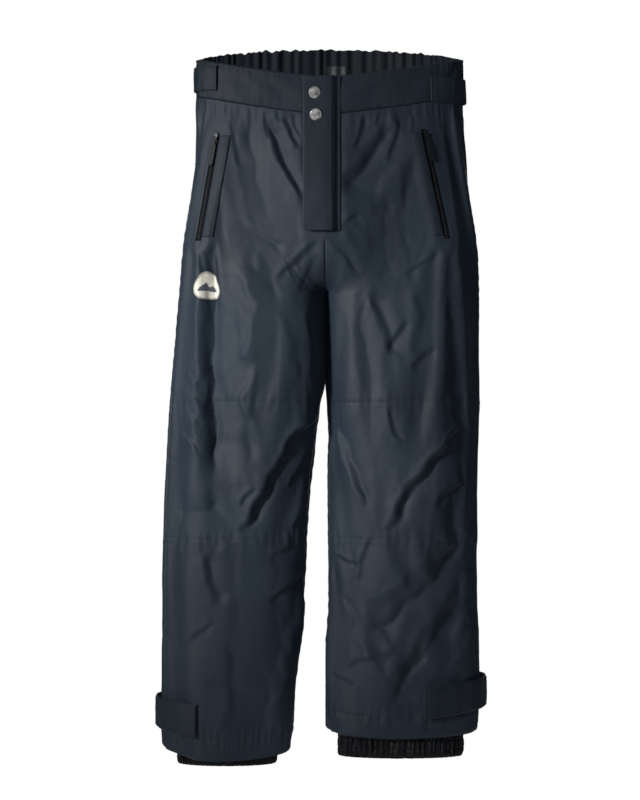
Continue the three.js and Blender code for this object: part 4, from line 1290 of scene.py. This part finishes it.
def placket_row(x, z):
    """A row of stitches on the placket."""
    x, z = np.broadcast_arrays(np.asarray(x, float), np.asarray(z, float))
    g = np.stack([x - 0.5, x, x + 0.5], axis=1), np.stack([z, z, z], axis=1)
    lifted = placket_lift(g[0])
    p, _, n = front_sheet(g[0], g[1], lifted, lifted + PLACKET_PLY, extra=placket_relief(*g))
    return stitches(p[:, 1], n[:, 1], lift=0.02)


zrow = np.linspace(PZ1 - 3, PZ0 + 5, 120)
parts = [placket_row(x, zrow) for x in PLACKET_STITCHES]
for inset, level in ((5, PZ0 + 5), (4, PZ1 - 4)):
    parts.append(placket_row(np.linspace(PX0 + inset, 10, 40), np.full(40, level)))
add_piece("placket_stitches", merge(parts), THREAD_M, "placket")

shield_low, shield_high = span_of("fly_shield")
gx, gz = np.meshgrid(
    np.linspace(shield_low[0] + 0.4, shield_high[0] - 0.4, 30), np.linspace(shield_high[2], shield_low[2], 90)
)
a, b_, _ = front_sheet(gx, gz, -6.0, -3.8, rounding=1.0, extra=0.15 * perlin(gx / 12, gz / 18, 85))
shield = add_piece("fly_shield_piece", slab(a, b_), LINING_M, instead_of=["fly_shield"])
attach(shield, "hips")


# ---------- zips ----------

def zip_frame(name):
    """Ends of the top face of the chain, its direction and its normal, from the CAD zip."""
    top, low, co = ZIPS[name]
    down = unit(low - top)
    spread = co - co.mean(0)
    spread = spread - np.outer(spread @ down, down)
    _, _, axes = np.linalg.svd(spread, full_matrices=False)
    across = axes[0]
    if across[0] < 0:
        across = -across
    normal = unit(np.cross(across, down))
    if normal[1] > 0:
        normal = -normal
    centre = co.mean(0)
    s = (co - centre) @ down
    h = (co - centre) @ normal
    return centre + down * s.min(), centre + down * s.max(), down, across, normal, h.max(), h.min()


def build_zip(name, tape_width):
    start, end, down, across, normal, high, low = zip_frame(name)
    length = np.linalg.norm(end - start)
    rows, cols = int(length / 2.2), 13
    s = np.linspace(0, length, rows)[:, None]
    w = np.linspace(-tape_width / 2, tape_width / 2, cols)[None, :]
    crown = high - 0.9 + 0.25 * np.cos(w / tape_width * 2 * np.pi) + 0.06 * np.sin(s * 1.4)
    grid = start + down * s[..., None] + across * w[..., None] + normal * crown[..., None]
    under = start + down * s[..., None] + across * w[..., None] + normal * np.full(crown.shape, low)[..., None]
    add_piece(
        name + "_zip_tape_piece", slab(grid, under), TAPE_M, "hips",
        instead_of=[name + "_zip"]
    )
    pitch = 1.7
    count = int(length / pitch) - 1
    s = (np.arange(count) + 1) * length / (count + 1)
    hand = np.where(np.arange(count) % 2 == 0, 1.0, -1.0)
    centres = start + down * s[:, None] + across * (hand * 0.75)[:, None] + normal * (high - 0.75)
    add_piece(
        name + "_zip_teeth",
        blocks(centres, np.tile(across, (count, 1)), np.tile(normal, (count, 1)), (3.2, 1.35, 0.75), taper=0.8),
        TEETH_M, "hips"
    )


build_zip("fly", 9.2)
build_zip("pocket_right", 7.2)
build_zip("pocket_left", 7.2)

for node in (
    "fly_slider", "fly_pull", "pocket_right_slider", "pocket_right_pull", "pocket_left_slider", "pocket_left_pull"
):
    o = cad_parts[node]
    o.data.materials.clear()
    o.data.materials.append(PULL_M if node.endswith("pull") else SLIDER_M)
    bevel = o.modifiers.new("soft_edges", "BEVEL")
    bevel.width = 0.00035
    bevel.segments = 3
    bevel.limit_method = "ANGLE"


# ---------- pockets ----------

WELT_NEAR, WELT_FAR, WELT_STITCH = 4.3, 19.3, 16.5  # from the middle of the zip, towards the fly

for side in SIDES:
    a, b, _ = ZIPS["pocket_" + side]
    low, high = span_of("pocket_welt_" + side)
    rows, cols = 90, 14
    z = np.linspace(high[2], low[2], rows)
    middle = a[0] + (b[0] - a[0]) * (z - a[2]) / (b[2] - a[2])
    reach = np.linspace(WELT_NEAR, WELT_FAR, cols)
    gx = middle[:, None] - SIGN[side] * reach[None, :]
    gz = np.broadcast_to(z[:, None], gx.shape)
    t = front_t(side, gx, gz)
    puff = (
        0.5 * np.sin(np.pi * (reach[None, :] - WELT_NEAR) / (WELT_FAR - WELT_NEAR))
        + 0.35 * perlin(gz / 10, gx / 30, 91)
        - 0.4 * bell(reach[None, :] - WELT_STITCH, 0.9)
    )
    add_piece(
        "pocket_welt_piece_" + side,
        ply(side, t[:, ::-1], gz[:, ::-1], 0.3, 1.9, rounding=1.2, extra=np.broadcast_to(puff, gx.shape)[:, ::-1]),
        BAND_M, "hips", instead_of=["pocket_welt_" + side]
    )
    # rows of stitches on the welt and across its ends
    x, inner_z = (middle - SIGN[side] * WELT_STITCH)[3:-3], z[3:-3]
    parts = [seam_row(side, front_t(side, x, inner_z), inner_z, lift=1.75)]
    for end in (3, -4):
        x = middle[end] - SIGN[side] * np.linspace(5.5, WELT_STITCH, 14)
        parts.append(seam_row(side, front_t(side, x, np.full(14, z[end])), np.full(14, z[end]), lift=1.8))
    # and one on the shell, on the other side of the slot
    x = middle + SIGN[side] * 7.5
    parts.append(seam_row(side, front_t(side, x, z), z, lift=0.05))
    add_piece("pocket_stitches_" + side, merge(parts), THREAD_M, "hips")
    low, high = span_of("pocket_bag_" + side)
    rows, cols = 60, 44
    z = np.linspace(high[2], low[2], rows)
    middle = a[0] + (b[0] - a[0]) * (z - a[2]) / (b[2] - a[2])
    width = lerp(85, 95, (high[2] - z) / (high[2] - low[2]))
    width = width * np.sqrt(np.minimum(1, 0.2 + (z - low[2]) / 26))
    gx = middle[:, None] - SIGN[side] * (-4 + (width[:, None] + 4) * np.linspace(0, 1, cols)[None, :])
    gz = np.broadcast_to(z[:, None], gx.shape)
    t = front_t(side, gx, gz)
    bag = add_piece(
        "pocket_bag_piece_" + side, ply(side, t[:, ::-1], gz[:, ::-1], -6.2, -3.8, rounding=1.5), LINING_M,
        instead_of=["pocket_bag_" + side]
    )
    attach(bag, "hips")


# ---------- snaps ----------

def lathe(profile_rows, centre, axis, up=(0, 0, 1), sides=48, relief=None):
    """A solid of revolution about an axis, from (radius, height) rows, with an optional relief."""
    axis = unit(np.array(axis, float))
    u = unit(np.cross(np.array(up, float), axis))
    v = np.cross(axis, u)
    rows = np.array(profile_rows, float)
    angle = np.linspace(0, 2 * np.pi, sides, endpoint=False)
    r, h = rows[:, 0][:, None], rows[:, 1][:, None]
    hh = h + (relief(r, angle[None, :]) if relief else 0)
    p = centre + axis * hh[..., None] + u * (r * np.cos(angle))[..., None] + v * (r * np.sin(angle))[..., None]
    first = ring_cap(sides)
    last = first[:, ::-1] + (len(rows) - 1) * sides
    return p.reshape(-1, 3), np.concatenate([grid_faces(len(rows), sides, wrap=True), first, last])


def dome(radius, low, high, rim=0.9):
    rows = [
        (0.02, low), (radius - 0.3, low), (radius, low + 0.25), (radius, low + 0.7), (radius - 0.25, low + 1.1),
        (radius - rim, low + 1.2), (radius - rim - 0.45, low + 0.75)
    ]
    for s in np.linspace(1, 0, 12):
        r = (radius - rim - 0.7) * s
        rows.append((max(r, 0.02), low + 0.75 + (high - low - 0.75) * (1 - s * s) ** 0.8))
    return rows


def snap_relief(r, angle):
    """Eight plain rays between two rings, as on any stock button."""
    ray = np.maximum(0, np.cos(8 * angle)) ** 2 * smooth(1.6, 2.4, r) * (1 - smooth(4.4, 5.2, r))
    ringed = bell(r - 1.3, 0.3) + bell(r - 5.5, 0.3)
    return 0.24 * ray + 0.2 * ringed


for name in ("upper", "lower"):
    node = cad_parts["snap_cap_" + name]
    co = np.array([v.co for v in node.data.vertices], float) * 1000
    stud = np.array([v.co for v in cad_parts["snap_stud_" + name].data.vertices], float) * 1000
    axis = unit(co[np.argsort(co[:, 1])[:14]].mean(0) - stud[np.argsort(-stud[:, 1])[:14]].mean(0))
    h = co @ axis
    top = h.max() + 1.3
    centre = stud.mean(0)
    centre = centre - axis * (centre @ axis)
    cap_low = top - 2.0
    parts = [lathe(dome(7.8, cap_low, top), centre, axis, relief=snap_relief)]
    socket = [
        (0.02, h.min() + 1.8), (2.5, h.min() + 1.8), (2.5, h.min()), (4.4, h.min() + 0.1), (4.6, h.min() + 0.4),
        (4.6, h.min() + 2.3), (4.2, h.min() + 2.6), (2.0, h.min() + 2.6), (2.0, cap_low), (0.02, cap_low)
    ]
    parts.append(lathe(socket[::-1], centre, axis))
    add_piece("snap_cap_piece_" + name, merge(parts), METAL_M, "placket", instead_of=["snap_cap_" + name])
    s = stud @ axis
    post = [
        (0.02, s.min()), (4.4, s.min()), (4.8, s.min() + 0.2), (4.8, s.min() + 0.6), (4.4, s.min() + 0.9),
        (2.2, s.min() + 1.0), (1.75, s.min() + 1.4), (1.95, s.max() - 0.9), (1.95, s.max() - 0.4),
        (1.5, s.max() - 0.05), (0.02, s.max())
    ]
    add_piece(
        "snap_stud_piece_" + name, lathe(post, centre, axis), METAL_M, "hips",
        instead_of=["snap_stud_" + name]
    )


# ---------- tabs ----------

TAB_LENGTH = 220
PILE_HALF = 13.5  # half the width of the loop pile
TAB_HALF = 16.5
# side: t at the sewn end, t at the free end, height of the middle
WAIST_TAB = {"right": (0.313, 0.7, -7.0), "left": (0.27, 0.7, -23.0)}
# side: t at the sewn end, height of its middle above the hem, rise to the free end, stand of the free end
CUFF_TAB = {"right": (0.324, 31.0, 16.0, 10.0), "left": (0.294, 35.0, 20.0, 12.0)}


def strap(
    side, t0, t1, middle, half, low, high, cols, rows, rounding=1.2, extra=None, end_round=0.0, surface=faceted
):
    t = np.linspace(t0, t1, cols)[None, :]
    b = np.linspace(0, 1, rows)[:, None]
    hh = half(t)
    if end_round:
        length = (t1 - t) / (t1 - t0) * TAB_LENGTH
        hh = hh * np.sqrt(np.minimum(1, 0.35 + length / end_round))
    z = middle(t) + hh * (1 - 2 * b)
    t = np.broadcast_to(t, z.shape)
    lo = low(t) if callable(low) else low
    hi = high(t) if callable(high) else high
    return ply(side, t, z, lo, hi, rounding=rounding, extra=extra(t, z, b) if extra else None, surface=surface)


for side in SIDES:
    root, end, z0 = WAIST_TAB[side]
    add_piece(
        "waist_loop_pile_piece_" + side,
        strap(
            side, root + 0.02, end + 0.03, lambda t: z0 + 0 * t, lambda t: PILE_HALF + 0 * t, 0.75, 1.45, 120, 14,
            rounding=0.4, extra=lambda t, z, b: 0.12 * perlin(t * WAIST_ROUND / 1.4, z / 1.4, 95)
        ),
        PILE_M, "hips", instead_of=["waist_loop_pile_" + side]
    )

    def tab_relief(t, z, b):
        s = (t - root) / (end - root)
        edges = -0.35 * (bell((b - 0.1) * 33, 0.9) + bell((b - 0.9) * 33, 0.9))
        ends = -0.5 * bell((s - 0.03) * TAB_LENGTH, 1.0)
        return 0.45 * np.sin(np.pi * b) + edges + ends + 0.35 * perlin(t * WAIST_ROUND / 24, z / 18, 96) + 0.2 * perlin(
            t * WAIST_ROUND / 8, z / 30, 97
        )

    base_off = 0.55 + 0.9 + 0.3  # over the hooks and the loop pile
    add_piece(
        "waist_tab_piece_" + side,
        strap(
            side, root, end, lambda t: z0 + 0 * t, lambda t: TAB_HALF + 0 * t, base_off, base_off + 2.0, 150, 22,
            extra=tab_relief, end_round=9
        ),
        BAND_M, "waist_tab_" + side, instead_of=["waist_tab_" + side]
    )
    parts = []
    ts = np.linspace(root + 0.012, end - 0.016, 120)
    for edge in (13.2, -13.2):
        parts.append(seam_row(side, ts, z0 + edge, lift=base_off + 1.85, surface=faceted))
    zs = np.linspace(z0 - 13, z0 + 13, 30)
    for at_t in (root + 0.012, root + 0.022, end - 0.016):
        parts.append(seam_row(side, at_t, zs, lift=base_off + 1.85, surface=faceted))
    add_piece("waist_tab_stitches_" + side, merge(parts), THREAD_M, "waist_tab_" + side)

for side in SIDES:
    root, above, rise, stand = CUFF_TAB[side]
    end = 0.66
    share = lambda t: (t - root) / (end - root)
    middle = lambda t: above - HEM_Z[side] + rise * share(t)
    half = lambda t: lerp(44, 35, share(t)) / 2
    low = lambda t: 1.75 + stand * smooth(0.2, 0.75, share(t))
    add_piece(
        "cuff_loop_pile_piece_" + side,
        strap(
            side, root + 0.015, end - 0.02, middle, lambda t: PILE_HALF + 0 * t, 0.6, 1.4, 100, 14, rounding=0.4,
            extra=lambda t, z, b: 0.12 * perlin(t * WAIST_ROUND / 1.4, z / 1.4, 98), surface=skin
        ),
        PILE_M, "shin_" + side, instead_of=["cuff_loop_pile_" + side]
    )

    def cuff_relief(t, z, b):
        s = share(t)
        edges = -0.35 * (bell((b - 0.09) * 38, 0.9) + bell((b - 0.91) * 38, 0.9))
        curl = 1.6 * smooth(0.5, 1.0, s) * perlin(t * WAIST_ROUND / 40, z / 22, 101)
        return 0.4 * np.sin(np.pi * b) + edges + curl + 0.4 * perlin(t * WAIST_ROUND / 22, z / 16, 102) + 0.25 * perlin(
            t * WAIST_ROUND / 8, z / 9, 103
        )

    add_piece(
        "cuff_tab_piece_" + side,
        strap(side, root, end, middle, half, low, lambda t: low(t) + 2.0, 140, 26, extra=cuff_relief, end_round=8),
        BAND_M, "cuff_tab_" + side, instead_of=["cuff_tab_" + side]
    )
    lines = []
    ts = np.linspace(root + 0.012, end - 0.014, 110)
    for edge in (0.86, -0.86):
        lines.append((ts, middle(ts) + edge * half(ts)))
    for at_t in (root + 0.012, root + 0.022):
        column = np.full(30, at_t)
        lines.append((column, middle(column) + np.linspace(-0.84, 0.84, 30) * half(column)))
    parts = []
    for t, z in lines:
        n = base_normal(side, t, z)
        parts.append(stitches(faceted(side, t, z) + n * (low(t) + 2.0)[:, None], n))
    add_piece("cuff_tab_stitches_" + side, merge(parts), THREAD_M, "cuff_tab_" + side)


# ---------- gaiters ----------

def gaiter_surface(side, t, z):
    shape = SHAPE[side]
    top = GAITER_TOP - HEM_Z[side]
    bottom = -HEM_Z[side] - GAITER_SHOWS[side]
    narrowed = smooth(top, bottom + 30, z)
    inset = lerp(SHELL + 0.95 + LINING + 1, 20, narrowed)  # inside the shell and the lining
    p = base(side, t, z)
    middle = SIGN[side] * (shape["outer"](z) + shape["inner"](z)) / 2
    half = (shape["outer"](z) - shape["inner"](z)) / 2
    depth = np.where(t < 0.5, shape["front"](z), shape["back"](z))
    p[..., 0] = middle + (p[..., 0] - middle) * (half - inset) / half
    p[..., 1] *= (depth - inset) / depth
    pushed = ((skin(side, t, z) - base(side, t, z)) * base_normal(side, t, z)).sum(-1)
    follow = np.minimum(pushed, 0) * smooth(bottom + 45, bottom + 80, z)
    return p + base_normal(side, t, z) * follow[..., None]


def gaiter_gathers(side, t, z):
    bottom = -HEM_Z[side] - GAITER_SHOWS[side]
    a = t * 2 * np.pi
    loose = smooth(bottom + 120, bottom + 28, z)
    wander = 1.3 * perlin(np.cos(a) * 3 + 9, np.sin(a) * 3 + 9 + z / 60, 111)
    deep = np.sin(a * 46 + 5 * wander)
    fine = np.sin(a * 104 + 7 * wander)
    second = perlin(np.cos(a) * 12 + 20, np.sin(a) * 12 + 20 + z / 40, 112)
    return loose * (0.9 * deep + 0.55 * fine + 1.6 * second)


for side in SIDES:
    top = GAITER_TOP - HEM_Z[side]
    bottom = -HEM_Z[side] - GAITER_SHOWS[side]
    for name, z_top, z_low, rows in (
        ("gaiter_sleeve_", top, bottom + 30.3, 48), ("gaiter_elastic_", bottom + 30, bottom, 26)
    ):
        cols = 560 if name == "gaiter_sleeve_" else 900
        u = np.linspace(0, 1, cols, endpoint=False)
        z = np.broadcast_to(np.linspace(z_top, z_low, rows)[:, None], (rows, cols))
        t = np.broadcast_to(u[None, :], z.shape)
        g = gaiter_gathers(side, t, z)
        if name == "gaiter_elastic_":
            s = (z_top - z) / 30
            g = g * lerp(1.0, 0.8, s) + 0.9 * np.sin(np.pi * clamp01(s)) - 0.6 * (
                bell((s - 0.22) * 30, 1.2) + bell((s - 0.62) * 30, 1.2)
            )
            g = g - 1.2 * smooth(0.88, 1.0, s)
        o = add_piece(
            name + "piece_" + side, ply(side, t, z, -1.6, 0.0, wrap=True, surface=gaiter_surface, extra=g), GAITER_M,
            instead_of=[name + side]
        )
        if name == "gaiter_sleeve_":
            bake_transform(o)
        else:
            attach(o, "gaiter_" + side)


# ---------- badge ----------

badge_low, badge_high = span_of("badge_right")
BADGE_X, BADGE_Z = (badge_low[0] + badge_high[0]) / 2, (badge_low[2] + badge_high[2]) / 2
angle = np.linspace(0, 2 * np.pi, 96, endpoint=False)
outline = 16.4 * (1 + 0.09 * np.cos(3 * (angle - np.pi / 2)))
rings = np.r_[0.02, np.linspace(0.1, 0.84, 14), 0.87, 0.9, 0.94, 0.98, 1.0]
rr, aa = np.meshgrid(rings, angle, indexing="ij")
bx = BADGE_X + rr * outline[None, :] * np.cos(aa)
bz = BADGE_Z + rr * outline[None, :] * 1.12 * np.sin(aa)
bt = front_t("right", bx, bz)
bp = skin("right", bt, bz)
bn = base_normal("right", bt, bz)
rim = bell(rr - 0.93, 0.05) * (0.5 + 0.12 * np.sin(aa * 70))
# a plain pair of peaks, embroidered
px, pz = (bx - BADGE_X) / 16.4, (bz - BADGE_Z) / 18.4
peak = np.minimum(np.minimum(pz + 0.34, 0.30 - np.abs(px + 0.16) * 1.25 - pz + 0.04), 9)
peak2 = np.minimum(pz + 0.34, 0.10 - np.abs(px - 0.26) * 1.25 - pz + 0.04)
motif = np.maximum(peak, peak2) > 0
h = 0.3 + 1.1 + rim + 0.22 * motif - 0.5 * smooth(0.97, 1.0, rr)
top_g, low_g = bp + bn * h[..., None], bp + bn * 0.3
rows_n, cols_n = rr.shape
faces_top = grid_faces(rows_n, cols_n, wrap=True)
n_v = rows_n * cols_n
last = (rows_n - 1) * cols_n
i = np.arange(cols_n)
side_f = np.stack([last + i, last + i + n_v, last + (i + 1) % cols_n + n_v, last + (i + 1) % cols_n], axis=-1)
points = np.concatenate([top_g.reshape(-1, 3), low_g.reshape(-1, 3)])
middle_f = ring_cap(cols_n)
faces = np.concatenate([faces_top, faces_top[:, ::-1] + n_v, side_f, middle_f, middle_f[:, ::-1] + n_v])
centre_rr = np.concatenate([rr.reshape(-1), rr.reshape(-1)])[faces].mean(1)
motif_f = np.concatenate([motif.reshape(-1), motif.reshape(-1)])[faces].mean(1) > 0.5
index = np.where(centre_rr > 0.875, 1, np.where(motif_f, 2, 0))
badge = new_object("badge_piece", points, faces, [BADGE_M, RIM_M, MOTIF_M], slots=index)
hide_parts("badge_right")
hip_blend(badge, "right")


# ---------- stitches ----------

for side in SIDES:
    parts = []
    z = np.linspace(-34, -432, 400)
    parts.append(seam_row(side, SIDE_SEAM + 5 / ROUND, z, lift=-0.05))
    z = np.linspace(-216, -284, 60)
    parts.append(seam_row(side, front_t(side, 4 + 0 * z, z), z, lift=-0.05))
    for ends in ((0.01, SIDE_SEAM - 0.01), (SIDE_SEAM + 0.02, 0.99)):
        ts = np.linspace(*ends, 200)
        parts.append(seam_row(side, ts, knee_seam(ts) + 4.5, lift=-0.05))
    o = add_piece("shell_stitches_upper_" + side, merge(parts), THREAD_M)
    hip_blend(o, side)
    parts = []
    z = np.linspace(-445, -HEM_Z[side] + 2, 400)
    parts.append(seam_row(side, SIDE_SEAM + 5 / ROUND, z, lift=-0.05))
    ts = np.linspace(0.01, SIDE_SEAM - 0.01, 200)
    for dz in (4.2, -4.2):
        parts.append(seam_row(side, ts, LOWER_SEAM + dz + 0 * ts, lift=-0.05))
    ts = np.linspace(0.002, 0.998, 420)
    parts.append(seam_row(side, ts, hem(side, ts) + HEM_STITCH, lift=-0.05))
    o = add_piece("shell_stitches_lower_" + side, merge(parts), THREAD_M)
    knee_blend(o, side)
    parts = []
    ts = np.linspace(0.004, SIDE_SEAM - 0.006, 160)
    for away in (5, 46):
        z = waist_top(ts) - away
        p = skin(side, ts, z)
        n = base_normal(side, ts, z)
        parts.append(stitches(p + n * (band_puff(ts, z, 0.7) + 0.02)[:, None], n))
    add_piece("waistband_stitches_" + side, merge(parts), THREAD_M, "hips")

# ---------- end ----------

bpy.context.view_layer.update()
